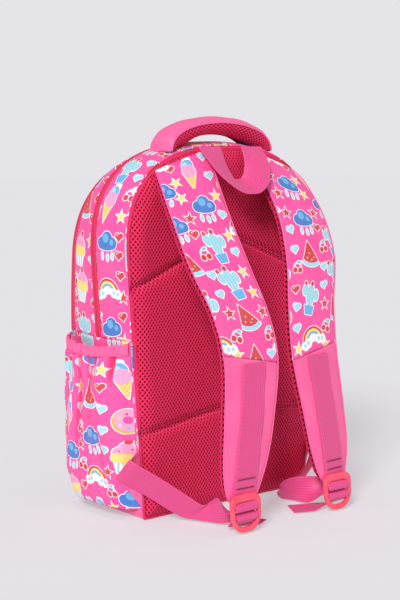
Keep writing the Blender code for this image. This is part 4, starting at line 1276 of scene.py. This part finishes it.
EDGE_OUT, EDGE_IN = (catmull([pair[i] for pair in STRAP_EDGES], 16) + [0, BACK_Y, 0] for i in (0, 1))
STRAP_MIDDLE = (EDGE_OUT + EDGE_IN) / 2
STRAP_REACH = reach_along(STRAP_MIDDLE)
STRAP_FACE = np.cross(np.gradient(STRAP_MIDDLE, axis=0), EDGE_OUT - EDGE_IN)
STRAP_FACE = unit(STRAP_FACE * np.sign(STRAP_FACE[:, 1:2]))
STRAP_LENGTH = float(STRAP_REACH[-1])


def along_strap(reach, table):
    return blend_rows(reach, STRAP_REACH, table)


def strap_normal(reach, side):
    return unit(along_strap(reach, STRAP_FACE)) * [side, 1, 1]


def strap_full(reach):
    """How full the padding is: it runs out at both ends."""
    return 0.45 + 0.55 * ease(reach / 0.045) * ease((STRAP_LENGTH - reach) / 0.02)


def strap_point(side, reach, k, depth_in):
    """A point of a left or right strap: k is 1 at its outer edge and -1 at its inner, depth_in is under its face."""
    reach, k, depth_in = np.broadcast_arrays(reach, k, depth_in)
    outer, inner = along_strap(reach, EDGE_OUT), along_strap(reach, EDGE_IN)
    face = unit(along_strap(reach, STRAP_FACE))
    middle, half = (outer + inner) / 2, (outer - inner) / 2
    point = middle + half * k[..., None] - face * depth_in[..., None]
    return point * [side, 1, 1]


def split_reach(k):
    """How far down the strap the printed cloth ends, which is lower on the inner side."""
    z = (STRAP_SPLIT_Z[0] + STRAP_SPLIT_Z[1]) / 2 + k * (STRAP_SPLIT_Z[0] - STRAP_SPLIT_Z[1]) / 2
    return np.interp(-z, -STRAP_MIDDLE[:, 2], STRAP_REACH)


def cover_depth(reach, k, seed):
    """Depth of the cover under the strap's outer face: crowned, drawn in along its edge seams."""
    crown = 0.0022 * (np.abs(k) ** 2.6)
    roll = 0.0012 * np.maximum(0, (np.abs(k) - 0.90) / 0.10) ** 2
    edge = (1 - np.abs(k)) * 0.034
    soft = ripple(reach, k * 0.034, 0.045, seed) * 0.0006 * ease(edge / 0.01)
    return (crown + roll - soft) * strap_full(reach) - 0.0011


def strap_cover(name, side, start, end, look, slot, node, body, blend, seed):
    t = np.linspace(0, 1, int(STRAP_LENGTH / 0.0022))[:, None]
    k = np.linspace(-1, 1, 41)[None]
    first = start(k) if callable(start) else start
    last = end(k) if callable(end) else end
    reach = first + (last - first) * t
    k = np.broadcast_to(k, reach.shape)
    depth_in = cover_depth(reach, k, seed)
    edge = np.minimum(reach - first, last - reach)
    depth_in = depth_in - seam_dip(np.maximum(edge, 0), 0.0007, 0.002)
    points = strap_point(side, reach, k, depth_in)
    width = np.linalg.norm(along_strap(reach, EDGE_OUT) - along_strap(reach, EDGE_IN), axis=-1)
    uv = np.stack([-k * width / 2 * side + 0.017 * side, 0.9 - reach], -1)
    faces = outward(points.reshape(-1, 3), grid_faces(*reach.shape), np.array([side * 0.06, -0.02, 0.2]))
    obj = mesh_object(name, points, [faces], [look, LINING], uv.reshape(-1, 2))
    declare_cut(points)
    thicken(obj, STRAP_CLOTH)
    return wear(obj, body, slot, node, end=blend)


PRINT_SEED, PLAIN_SEED = 51, 52     # of the unevenness of the two covers
STRAP_BEND = ((0, BACK_Y - 0.004, 0.385), (0, BACK_Y + 0.020, 0.345))
NET_WIDTH = 0.0700
NET_HALF = ((0, 1.0, 0.0024), (0.0012, 1.035, 0.0036), (0.0030, 1.055, 0.0054), (0.0048, 1.040, 0.0071),
            (0.0066, 0.990, 0.0083), (0.0095, 0.890, 0.0088))   # length round, place across, depth


def strap_net_place(side):
    """The mesh side: a is a length round the strap from its outer edge under to its inner edge, b runs along it."""
    table = np.array(NET_HALF)
    table = np.vstack([table, (table * [-1, -1, 1] + [NET_WIDTH, 0, 0])[::-1]])

    def place(a, b):
        a, b = np.asarray(a, float), np.asarray(b, float)
        k, sink = np.interp(a, table[:, 0], table[:, 1]), np.interp(a, table[:, 0], table[:, 2])
        soft = ripple(b, k * 0.03, 0.05, 77) * 0.0006 * (sink - 0.0024) / 0.0064
        return strap_point(side, b, k, (sink + soft) * strap_full(b))
    return place


def make_straps():
    for word, side in SIDES:
        body = ("root", f"strap_{word}")
        strap_cover(f"strap_print_{word}", side, 0.0005, split_reach, PRINT, "print", f"strap_cover_{word}", body,
                    STRAP_BEND, PRINT_SEED)
        strap_cover(f"strap_plain_{word}", side, lambda k: split_reach(k) + 0.0004, STRAP_LENGTH - 0.0006, PLAIN,
                    "plain", f"strap_lower_cover_{word}", f"strap_{word}", None, PLAIN_SEED)
        net = air_mesh(f"strap_net_{word}", strap_net_place(side), (0.0, NET_WIDTH), (0.001, STRAP_LENGTH - 0.001),
                       lambda a, b: (a > 0.0012) & (a < NET_WIDTH - 0.0012),
                       np.array([side * 0.062, BACK_Y + 0.5, 0.2]))
        wear(net, body, "air_mesh", f"strap_mesh_{word}", end=STRAP_BEND)
        reach = np.linspace(0.0006, STRAP_LENGTH - 0.0008, 170)
        rows = []
        for turn in np.linspace(0, math.tau, 40, endpoint=False):
            k = np.sign(np.cos(turn)) * np.abs(np.cos(turn)) ** 0.5 * 0.965
            sink = np.sign(np.sin(turn)) * np.abs(np.sin(turn)) ** 0.8
            top = cover_depth(reach, k, PRINT_SEED) + 0.0016
            bottom = (STRAP_THICK - 0.0038) * strap_full(reach)
            middle, half = (top + bottom) / 2, (bottom - top) / 2
            rows.append(strap_point(side, reach, k, middle + half * sink))
        core = closed_loft(f"strap_padding_{word}", np.array(rows).transpose(1, 0, 2), LINING)
        wear(core, body, "foam", f"strap_foam_{word}", end=STRAP_BEND)
        for edge, word_edge in ((1, "outer"), (-1, "inner")):
            reach = np.linspace(0.002, STRAP_LENGTH - 0.001, 300)
            route = strap_point(side, reach, edge * 1.0, 0.0016 * strap_full(reach) - 0.0002)
            piping = tube(f"strap_piping_{word_edge}_{word}", route, 0.0007, PLAIN)
            wear(piping, body, "plain", end=STRAP_BEND)
        lines = []
        for edge in (1, -1):
            reach = np.linspace(0.006, STRAP_LENGTH - 0.004, 400)
            k = edge * (1 - 0.0042 / 0.034)
            route = strap_point(side, reach, k, cover_depth(reach, k, PRINT_SEED) - 0.00015)
            lines.append((route, strap_normal(reach, side)))
        wear(stitches(f"strap_stitches_{word}", lines), body, "print", end=STRAP_BEND)
        make_strap_webbing(word, side)
        k = np.linspace(-0.93, 0.93, 120)
        lines = []
        for shift in (-0.0022, 0.0024):
            reach = split_reach(k) + shift
            route = strap_point(side, reach, k, cover_depth(reach, k, PRINT_SEED) - 0.0001)
            lines.append((route, strap_normal(reach, side)))
        wear(stitches(f"strap_join_stitches_{word}", lines), f"strap_{word}", "plain")


def make_strap_webbing(word, side):
    """The webbing sewn down the plain part, its stitches, bar tacks, and its turn round the lock's top bar."""
    start = float(split_reach(np.array(0.0))) + 0.004
    reach = np.linspace(start, STRAP_LENGTH - 0.004, 150)
    zero = np.zeros_like(reach)
    centre = strap_point(side, reach, zero, cover_depth(reach, zero, PLAIN_SEED) - 0.0008)
    width = (along_strap(reach, EDGE_OUT) - along_strap(reach, EDGE_IN)) * [side, 1, 1]
    face = strap_normal(reach, side)
    top = centre[-1] + face[-1] * 0.0010
    down = np.array([top, top + [0, 0.0042, -0.0042], top + [0, 0.0058, -0.0090]])
    turn = catmull(down, 12)[1:]
    route = np.vstack([centre, turn])
    across = np.vstack([width, np.tile(width[-1], (len(turn), 1))])
    band = ribbon(f"strap_band_{word}", route, across, WEB)
    wear(band, f"strap_{word}", "webbing", f"strap_webbing_{word}")
    lines = [(centre + unit(width) * edge + face * (WEBBING / 2 + 0.0001), face) for edge in (-0.0128, 0.0128)]
    wear(stitches(f"strap_band_stitches_{word}", lines), f"strap_{word}", "webbing")
    for index, height in enumerate((0.0555, 0.0455)):
        at = int(np.argmin(np.abs(centre[:, 2] - height)))
        bar_tack(f"bar_tack_{index}_{word}", centre[at] + face[at] * (WEBBING / 2 + 0.0002), unit(width[at]),
                 unit(np.cross(face[at], width[at])), face[at], 0.0225, f"strap_{word}")


def bar_tack(name, middle, across, along, lift, width, body):
    """A dense zigzag of thread, sewn across."""
    turns = 30
    t = np.linspace(0, 1, turns * 2)
    zig = np.where(np.arange(turns * 2) % 2 == 0, -1, 1) * 0.0007
    route = middle + across * ((t - 0.5) * width)[:, None] + along * zig[:, None] + lift * 0.0001
    wear(tube(name, route, 0.0003, DARK_THREAD, 6), body, "webbing")


# ---------------------------------------------------------------- ladder locks

def rounded_outline(half_x, low, high, radius_top, radius_low, per_corner=14):
    """A rounded outline as x and height, anticlockwise from the right side."""
    found = []
    for corner_x, corner_y, radius, start in ((1, high, radius_top, 0), (-1, high, radius_top, 1),
                                              (-1, low, radius_low, 2), (1, low, radius_low, 3)):
        turn = math.pi / 2 * (start + np.linspace(0, 1, per_corner))
        centre = np.array([corner_x * (half_x - radius), corner_y - math.copysign(radius, corner_y - (low + high) / 2)])
        found.append(centre + np.stack([np.cos(turn), np.sin(turn)], -1) * radius)
    return np.vstack(found)


def frame_bar(name, outline, radius_y, radius_in, look):
    """A closed rounded bar that follows a flat outline: radius_in is its half width in the outline's plane."""
    route = np.column_stack([outline[:, 0], np.zeros(len(outline)), outline[:, 1]])
    along = unit(np.roll(route, -1, 0) - np.roll(route, 1, 0))
    side = unit(np.cross(along, [0, 1, 0]))
    turn = np.linspace(0, math.tau, 20, endpoint=False)
    k = np.sign(np.cos(turn)) * np.abs(np.cos(turn)) ** 0.7
    h = np.sign(np.sin(turn)) * np.abs(np.sin(turn)) ** 0.7
    wide = np.broadcast_to(radius_in, len(route))[:, None, None]
    points = route[:, None] + side[:, None] * k[None, :, None] * wide
    points = points + np.array([0, 1, 0]) * (h * radius_y)[None, :, None]
    count, sides = len(route), 20
    i, j = np.arange(count)[:, None], np.arange(sides)[None]
    after_i, after_j = (i + 1) % count, (j + 1) % sides
    faces = np.stack([i * sides + j, i * sides + after_j, after_i * sides + after_j, after_i * sides + j],
                     -1).reshape(-1, 4)
    faces = outward_loop(points, faces)
    return mesh_object(name, points, [faces], look, points.reshape(-1, 3)[:, [0, 2]])


def rod(name, start, end, radius, look, sides=20):
    """A straight bar with rounded ends between two points."""
    start, end = np.array(start, float), np.array(end, float)
    along = unit(end - start)
    second = unit(np.cross(along, [0, 1, 0.0]))
    first = unit(np.cross(second, along))
    turn = np.linspace(0, math.tau, sides, endpoint=False)
    rows = []
    length = np.linalg.norm(end - start)
    for reach, size in ((0, 0.55), (0.0006, 0.85), (0.0014, 1), (length - 0.0014, 1), (length - 0.0006, 0.85),
                        (length, 0.55)):
        ring = (np.cos(turn)[:, None] * first + np.sin(turn)[:, None] * second) * radius * size
        rows.append(start + along * reach + ring)
    return closed_loft(name, np.array(rows), look)


def lock_frame(side):
    tilt = LADDER_TILT
    centre = np.array(LADDER_CENTRE) * [side, 1, 1] + [0, BACK_Y, 0]
    back = np.array([0, math.cos(tilt), math.sin(tilt)])
    up = np.array([0, -math.sin(tilt), math.cos(tilt)])

    def place(points):
        points = np.asarray(points, float)
        return (centre + points[..., :1] * [1, 0, 0] + points[..., 1:2] * back + points[..., 2:] * up)
    return place


def make_lock(word, side):
    """A three-bar ladder lock: a round-bottomed frame, cross bars and the webbing that winds through it."""
    place = lock_frame(side)
    body = f"buckle_{word}"
    outline = rounded_outline(0.0176, -0.0172, 0.0150, 0.0075, 0.0150, 20)
    wide = 0.0024 + 0.0018 * ease((outline[:, 1] - 0.004) / 0.011) + 0.0004 * ease((-0.010 - outline[:, 1]) / 0.007)
    pieces = [frame_bar(f"lock_frame_{word}", outline, 0.0024, wide, BUCKLE)]
    for index, height in enumerate((0.0047, -0.0049)):
        pieces.append(rod(f"lock_bar_{index}_{word}", (-0.0172, 0, height), (0.0172, 0, height), 0.0019, BUCKLE))
    for obj in pieces:
        reshape(obj, place)
    wear(pieces[0], body, "buckle", f"ladder_lock_{word}")
    for obj in pieces[1:]:
        wear(obj, body, "buckle")
    windings = (((0, -0.0034, 0.0100), (0, -0.0006, 0.0086), (0, 0.0026, 0.0070), (0, 0.0034, 0.0046),
                 (0, 0.0024, 0.0022), (0, -0.0006, 0.0012), (0, -0.0032, 0.0006)),
                ((0, -0.0040, 0.0004), (0, -0.0008, -0.0012), (0, 0.0026, -0.0026), (0, 0.0034, -0.0050),
                 (0, 0.0024, -0.0074), (0, -0.0008, -0.0092), (0, -0.0052, -0.0118)))
    for index, winding in enumerate(windings):
        route = place(catmull(winding, 14))
        across = np.tile([1.0, 0, 0], (len(route), 1))
        band = ribbon(f"lock_band_{index}_{word}", route, across, WEB, width=WEBBING_WIDTH * 0.98)
        wear(band, body, "webbing")


# ---------------------------------------------------------------- webbing at the base and its tabs

# Points along a band, their Y counted from the back seam's at the floor, each with the direction of its width.
LOWER_BANDS = {
    "left": (((0.1412, -0.0052, 0.0585), (-0.13, 0.65, 0.75)), ((0.1372, 0.0020, 0.0533), (-0.13, 0.65, 0.75)),
             ((0.1240, 0.0110, 0.0440), (-0.15, 0.68, 0.72)),
             ((0.1090, 0.0210, 0.0322), (-0.20, 0.72, 0.66)), ((0.0950, 0.0305, 0.0208), (-0.26, 0.76, 0.60)),
             ((0.0835, 0.0385, 0.0122), (-0.30, 0.78, 0.52)), ((0.0765, 0.0470, 0.0135), (-0.22, 0.62, 0.75)),
             ((0.0735, 0.0580, 0.0158), (0.00, 0.38, 0.92)), ((0.0715, 0.0700, 0.0166), (0.30, 0.12, 0.94)),
             ((0.0698, 0.0800, 0.0172), (0.70, 0.04, 0.70)), ((0.0680, 0.0870, 0.0176), (0.95, 0.00, 0.25)),
             ((0.0672, 0.0915, 0.0178), (1.00, 0.00, 0.06))),
    "right": (((-0.1412, -0.0052, 0.0585), (0.13, 0.65, 0.75)), ((-0.1372, 0.0020, 0.0533), (0.13, 0.65, 0.75)),
              ((-0.1220, 0.0130, 0.0420), (0.15, 0.70, 0.68)),
              ((-0.1020, 0.0235, 0.0265), (0.28, 0.80, 0.48)), ((-0.0800, 0.0278, 0.0145), (0.40, 0.85, 0.32)),
              ((-0.0600, 0.0290, 0.0095), (0.48, 0.84, 0.25)), ((-0.0475, 0.0325, 0.0100), (0.52, 0.74, 0.40)),
              ((-0.0435, 0.0410, 0.0130), (0.46, 0.44, 0.76)), ((-0.0490, 0.0520, 0.0160), (0.30, 0.20, 0.92)),
              ((-0.0590, 0.0670, 0.0170), (-0.20, 0.10, 0.96)), ((-0.0650, 0.0800, 0.0174), (-0.75, 0.02, 0.62)),
              ((-0.0672, 0.0915, 0.0178), (-1.00, 0.00, 0.06))),
}
TAIL = (((0.0640, 0.0925, 0.0062), (0.98, -0.16, 0.00)), ((0.0590, 0.0880, 0.0030), (0.86, -0.42, 0.00)),
        ((0.0480, 0.0815, 0.0020), (0.60, -0.78, 0.00)), ((0.0385, 0.0765, 0.0016), (0.52, -0.84, 0.00)),
        ((0.0280, 0.0712, 0.0014), (0.50, -0.86, 0.00)))


TAB_END = ((0.1415, -0.0150, 0.0470), (0.1375, 0.0050, 0.0700))
TAB_SEAM_Z = (0.0140, 0.0775)


def band_route(table, per_span, side=1):
    """A band's middle line and the direction of its width, from a table of both."""
    route, across = (catmull(list(rows), per_span) for rows in zip(*[(p, unit(np.array(w))) for p, w in table]))
    return route * [side, 1, 1] + [0, BACK_Y, 0], across * [side, 1, 1]


def make_lower_webbing():
    for word, side in SIDES:
        make_lock(word, side)
        wear(ribbon(f"lower_band_{word}", *band_route(LOWER_BANDS[word], 14), WEB), "root", "webbing",
             f"lower_webbing_{word}")
        wear(ribbon(f"tail_band_{word}", *band_route(TAIL, 14, side), WEB), f"buckle_{word}", "webbing",
             f"webbing_tail_{word}")
        make_tab(word, side)


def make_tab(word, side):
    """A folded triangle of plain cloth sewn into the side seam, and the stitches that hold the webbing in it."""
    flip = np.array([side, 1, 1])
    base = [np.array([half_width(z) - 0.0012, rear_y(z) + 0.0002, z]) for z in TAB_SEAM_Z]
    end = [np.array(p) + [0, BACK_Y, 0] for p in TAB_END]
    face = unit(np.cross(end[0] - base[0], base[1] - base[0]))
    t = np.linspace(0, 1, 30)[:, None]
    k = np.linspace(0, 1, 26)[None]
    one = base[0] + (end[0] - base[0]) * t[..., None]
    two = base[1] + (end[1] - base[1]) * t[..., None]
    middle = one + (two - one) * k[..., None]
    puffed = (0.0012 + 0.0009 * np.sin(math.pi * k) ** 0.5 * np.sin(math.pi * np.clip(t * 0.9 + 0.08, 0, 1)) ** 0.5)
    wrinkle = ripple(t * 0.02, k * 0.05, 0.02, 61 + side) * 0.0004 * np.sin(math.pi * k)
    top = middle + face * (puffed + wrinkle)[..., None]
    low = middle - face * (puffed - wrinkle)[..., None]
    sections = np.concatenate([top, low[:, ::-1]], 1) * flip
    obj = closed_loft(f"tab_cloth_{word}", sections, PLAIN)
    wear(obj, "root", "plain", f"strap_tab_{word}")
    seams = [top[26, 2:-2], top[23, 2:-2], top[2:27, 1], top[2:27, 23]]
    lines = [((seam + face * 0.0001) * flip, face * flip) for seam in seams]
    wear(stitches(f"tab_stitches_{word}", lines, length=0.002, gap=0.0010), "root", "plain")


# ---------------------------------------------------------------- handle and hang loop

def handle_axis(t):
    """The middle line of the handle and its outward direction; t runs 0 to 1 from the right foot to the left."""
    turn = math.pi * np.asarray(t, float)
    x = -HANDLE_HALF_SPAN * np.cos(turn)
    z = HANDLE_FOOT_Z - 0.0090 + (HANDLE_RISE + 0.0062) * np.sin(turn) ** 0.90
    return x, z


def handle_place(t, around, grow=0.0):
    """A point on the handle's skin: around is 0 at its front edge, a quarter on top, half at its rear edge."""
    t, around = np.broadcast_arrays(np.asarray(t, float), np.asarray(around, float))
    x, z = handle_axis(t)
    step = 0.002
    x1, z1 = handle_axis(np.clip(t + step, 0, 1))
    x0, z0 = handle_axis(np.clip(t - step, 0, 1))
    slope = np.hypot(x1 - x0, z1 - z0)
    nx, nz = -(z1 - z0) / slope, (x1 - x0) / slope
    full = 0.70 + 0.30 * ease(np.minimum(t, 1 - t) / 0.20)
    under = 1 + 0.42 * np.exp(-((np.minimum(t, 1 - t) - 0.23) / 0.10) ** 2)
    angle = math.tau * around
    k = -np.sign(np.cos(angle)) * np.abs(np.cos(angle)) ** 0.80
    h = np.sign(np.sin(angle)) * np.abs(np.sin(angle)) ** 0.90
    wide = HANDLE_HALF_WIDTH + grow
    tall = (HANDLE_HALF_THICK + grow) * full * np.where(h < 0, under, 1)
    return np.stack([x + nx * h * tall, BACK_Y + HANDLE_Y + k * wide, z + nz * h * tall], -1)


def make_handle():
    body = ("root", "handle")
    t = np.linspace(0.0, 1.0, 170)[:, None]
    around = np.linspace(0.045, 0.455, 60)[None]
    points = handle_place(t, around)
    soft = ripple(t * 0.2, around * 0.06, 0.03, 71) * 0.0006
    points[..., 2] += soft * np.sin(math.pi * np.clip((around - 0.045) / 0.41, 0, 1)) ** 0.5
    points[..., 2] -= 0.0011 * np.exp(-((around - 0.17) / 0.016) ** 2)
    uv = np.stack(np.broadcast_arrays(t * 0.19, around * 0.07), -1)
    away = np.array([0, BACK_Y + HANDLE_Y, 0.385])
    wear(sheet_of("handle_cloth", points, uv, [PLAIN, LINING], STRAP_CLOTH, away=away), body, "plain",
         "handle_cover", end=HANDLE_BEND)

    def place(a, b):
        return handle_place(b / 0.176, 0.45 + a / 0.080, -0.0002)

    net = air_mesh("handle_net", place, (0.0, 0.080), (0.002, 0.174), lambda a, b: (a > 0.0012) & (a < 0.0470),
                   np.array([0, BACK_Y + HANDLE_Y, 0.50]), half_b=0.0027)
    wear(net, body, "air_mesh", "handle_mesh", end=HANDLE_BEND)
    around = np.linspace(0, 1, 48, endpoint=False)[None]
    t = np.linspace(0.012, 0.988, 110)[:, None]
    core = closed_loft("handle_padding", handle_place(t, around, -0.0019), LINING)
    wear(core, body, "foam", "handle_foam", end=HANDLE_BEND)
    lines = []
    length, girth = np.linspace(0.02, 0.98, 200), np.linspace(0.07, 0.43, 60)
    for t, around, lift in ((length, 0.065, 0.0001), (length, 0.435, 0.0001), (0.055, girth, 0.0002),
                            (0.945, girth, 0.0002)):
        route = handle_place(t, around, lift)
        lines.append((route, unit(handle_place(t, around, 0.002) - route)))
    wear(stitches("handle_stitches", lines), body, "plain", end=HANDLE_BEND)
    for edge, around in (("front", 0.045), ("rear", 0.455)):
        route = handle_place(np.linspace(0.004, 0.996, 200), around, 0.0001)
        wear(tube(f"handle_piping_{edge}", route, 0.0010, PLAIN), body, "plain", end=HANDLE_BEND)


# The loop's left half, as points and directions like those of the lower bands.
LOOP_HALF = (((0.0300, 0.0028, 0.3895), (1.00, 0.00, 0.00)), ((0.0296, 0.0062, 0.3855), (0.99, 0.06, -0.04)),
             ((0.0290, 0.0105, 0.3800), (0.97, 0.20, -0.10)), ((0.0276, 0.0150, 0.3730), (0.90, 0.36, -0.20)),
             ((0.0250, 0.0190, 0.3660), (0.80, 0.50, -0.30)), ((0.0210, 0.0224, 0.3596), (0.66, 0.64, -0.38)),
             ((0.0160, 0.0250, 0.3540), (0.50, 0.75, -0.45)), ((0.0108, 0.0260, 0.3500), (0.30, 0.82, -0.49)),
             ((0.0056, 0.0264, 0.3478), (0.13, 0.86, -0.50)))


def make_hang_loop():
    half = np.array(LOOP_HALF)
    whole = np.vstack([half, half[::-1] * [-1, 1, 1]])
    wear(ribbon("loop_band", *band_route(whole, 10), WEB), ("root", "loop"), "webbing", "hang_loop", end=LOOP_BEND)


# ---------------------------------------------------------------- zip sliders

def rounded_block(name, size, look, radius=0.0010):
    """A block with rounded edges about the origin."""
    grid = np.linspace(-1, 1, 7)
    half = np.array(size) / 2
    points, faces, base = [], [], 0
    for axis in range(3):
        for sign in (-1, 1):
            a, b = np.meshgrid(grid, grid, indexing="ij")
            spot = np.zeros((7, 7, 3))
            spot[..., axis] = sign
            spot[..., (axis + 1) % 3] = a
            spot[..., (axis + 2) % 3] = b
            place = spot * half
            core = np.clip(place, -(half - radius), half - radius)
            off = place - core
            size_off = np.linalg.norm(off, axis=-1, keepdims=True)
            place = core + off / np.maximum(size_off, 1e-9) * np.minimum(size_off, radius)
            points.append(place.reshape(-1, 3))
            quads = grid_faces(7, 7, start=base)
            faces.append(quads if sign > 0 else quads[:, ::-1])
            base += 49
    return mesh_object(name, np.vstack(points), [np.vstack(faces)], look, np.vstack(points)[:, :2])


def move(obj, offset, turn):
    return reshape(obj, lambda points: points @ turn.T + offset)


def make_slider(node, body, pull_body):
    """A painted slider, a block with rounded edges, and a pull: a ring with a hole through it, and a flat grip."""
    low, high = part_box(node)
    low, high = np.array(low), np.array(high)
    centre, size = (low + high) / 2, high - low
    flat = size[2] < size[0]
    turn = np.array([[0, 0, 1], [0, 1, 0], [-1, 0, 0]]) if flat else np.eye(3)
    wide = (size[2], size[1], size[0]) if flat else tuple(size)
    wear(move(rounded_block(f"{node}_body", wide, SLIDER, 0.0011), centre, turn), body, "slider_metal", node)
    low_p, high_p = (np.array(v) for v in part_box(f"{node}_pull"))
    middle, extent = (low_p + high_p) / 2, high_p - low_p
    length = max(extent[0], extent[2])
    outline = rounded_outline(0.0028, -length / 2, length / 2 - 0.0012, 0.0016, 0.0026, 8)
    ring = frame_bar(f"{node}_pull_ring", outline, 0.0006, 0.0005, SLIDER)
    plate = rounded_block(f"{node}_pull_grip", (0.0056, 0.0012, length * 0.62), SLIDER, 0.0006)
    if extent[0] > extent[2]:
        spin, down = np.array([[0, 0, 1], [1, 0, 0], [0, 1, 0]]), np.array([-length * 0.17, 0, 0])
    else:
        spin, down = np.array([[0, 1, 0], [1, 0, 0], [0, 0, 1]]), np.array([0, 0, -length * 0.17])
    wear(move(ring, middle, spin), pull_body, "slider_metal", f"{node}_pull")
    wear(move(plate, middle + down, spin), pull_body, "slider_metal")


def make_sliders():
    for names in (("main_slider_low", "low_slider", "low_pull"), ("main_slider_high", "high_slider", "high_pull"),
                  ("front_slider", "compartment_slider", "compartment_pull"),
                  ("pocket_slider", "pocket_runner", "pocket_pull")):
        make_slider(*names)


# ---------------------------------------------------------------- seams and loose details

def out_along(s):
    """Outward directions at lengths along the outline."""
    return np.stack([np.interp(s, OUTLINE_S, OUT_X), np.zeros_like(s), np.interp(s, OUTLINE_S, OUT_Z)], -1)


def make_seams():
    """Piping round the back, and stitches beside the zips and seams."""
    foot = outline_at(BASE_RIM_Z)
    route = skin(np.linspace(-foot, foot, 900), -0.0004, 0.0002)
    wear(tube("back_seam_piping", route, 0.0009, PRINT, 10), "root", "print")
    foot = outline_at(FLAP_Z + 0.004)
    s = np.linspace(-foot, foot, 800)
    front_seam = depth(np.interp(s, OUTLINE_S, OUTLINE_Z)) - FRONT_ZIP_WIDTH - 0.0030
    panels = (("rear_panel_stitches", (0.0036, ZIP_DISTANCE - TAPE - 0.0026), "root", None),
              ("middle_panel_stitches", (ZIP_DISTANCE + TAPE + 0.0026, front_seam), ("root", "flap"), FLAP_BLEND))
    for name, distances, body, end in panels:
        lines = [(skin(s, distance, 0.0001), out_along(s)) for distance in distances]
        wear(stitches(name, lines), body, "print", end=end)
    for word, side in SIDES:
        s = side * np.linspace(outline_at(FLAP_Z - 0.002), outline_at(BASE_RIM_Z + 0.003), 200)
        lines = [(skin(s, distance, 0.0001), out_along(s))
                 for distance in (0.0036, depth(np.interp(s, OUTLINE_S, OUTLINE_Z)) - 0.0036)]
        wear(stitches(f"side_stitches_{word}", lines), "root", "print")


make_body()
make_base()
make_back_pad()
make_sleeve()
make_side_pockets()
make_straps()
make_lower_webbing()
make_handle()
make_hang_loop()
make_sliders()
make_seams()


# ---------------------------------------------------------------- floor, light and camera

BACKDROP = srgb(229, 228, 233)
FLOOR_COLOUR = (0.442, 0.437, 0.458, 1)
FLOOR_GLOW = 0.49           # keeps the floor as pale as the backdrop, and its shadow weak
FLOOR_HALF, FLOOR_Z = 14.0, -0.0004
AMBIENT = 0.37
AMBIENT_COLOUR = (1.0, 0.985, 0.99, 1)
LAMPS = (("key", (0.78, 0.52, 0.64), 2.60, 18), ("fill", (-0.7, 0.6, 0.5), 0.30, 60))   # towards it, strength, angle
CAMERA_PLACE = (0.95665, 1.0865, 0.3873)
CAMERA_AZIMUTH, CAMERA_ELEVATION = math.radians(139.40), math.radians(6.49)
CAMERA_LENS = 79.74


def make_light():
    scene = bpy.context.scene
    scene.view_settings.view_transform = "Standard"
    world = bpy.data.worlds.new("studio")
    scene.world = world
    world.use_nodes = True
    nodes, links = world.node_tree.nodes, world.node_tree.links
    nodes.clear()
    out = nodes.new("ShaderNodeOutputWorld")
    mix = nodes.new("ShaderNodeMixShader")
    seen = nodes.new("ShaderNodeBackground")
    seen.inputs["Color"].default_value = BACKDROP
    light = nodes.new("ShaderNodeBackground")
    light.inputs["Color"].default_value = AMBIENT_COLOUR
    light.inputs["Strength"].default_value = AMBIENT
    path = nodes.new("ShaderNodeLightPath")
    links.new(path.outputs["Is Camera Ray"], mix.inputs[0])
    links.new(light.outputs[0], mix.inputs[1])
    links.new(seen.outputs[0], mix.inputs[2])
    links.new(mix.outputs[0], out.inputs[0])
    for name, direction, strength, angle in LAMPS:
        lamp = bpy.data.lights.new(name, "SUN")
        lamp.energy = strength
        lamp.angle = math.radians(angle)
        obj = bpy.data.objects.new(name, lamp)
        obj.rotation_euler = Vector(direction).to_track_quat("Z", "Y").to_euler()
        scene.collection.objects.link(obj)


def make_floor():
    g = Graph("floor", Roughness=0.9, Specular_IOR_Level=0.0, Emission_Color=BACKDROP, Emission_Strength=FLOOR_GLOW)
    g.colour(FLOOR_COLOUR)
    points = np.array([(x * FLOOR_HALF, y * FLOOR_HALF, FLOOR_Z) for x, y in ((-1, -1), (1, -1), (1, 1), (-1, 1))])
    floor = mesh_object("floor", points, [np.array([[0, 1, 2, 3]])], g.material, points[:, :2])


def make_camera():
    level = math.cos(CAMERA_ELEVATION)
    back = Vector((math.sin(CAMERA_AZIMUTH) * level, -math.cos(CAMERA_AZIMUTH) * level, math.sin(CAMERA_ELEVATION)))
    data = bpy.data.cameras.new("camera")
    data.lens = CAMERA_LENS
    data.sensor_width = 36
    camera = bpy.data.objects.new("camera", data)
    camera.location = CAMERA_PLACE
    camera.rotation_euler = back.to_track_quat("Z", "Y").to_euler()
    bpy.context.scene.collection.objects.link(camera)
    bpy.context.scene.camera = camera


make_light()
make_floor()
make_camera()
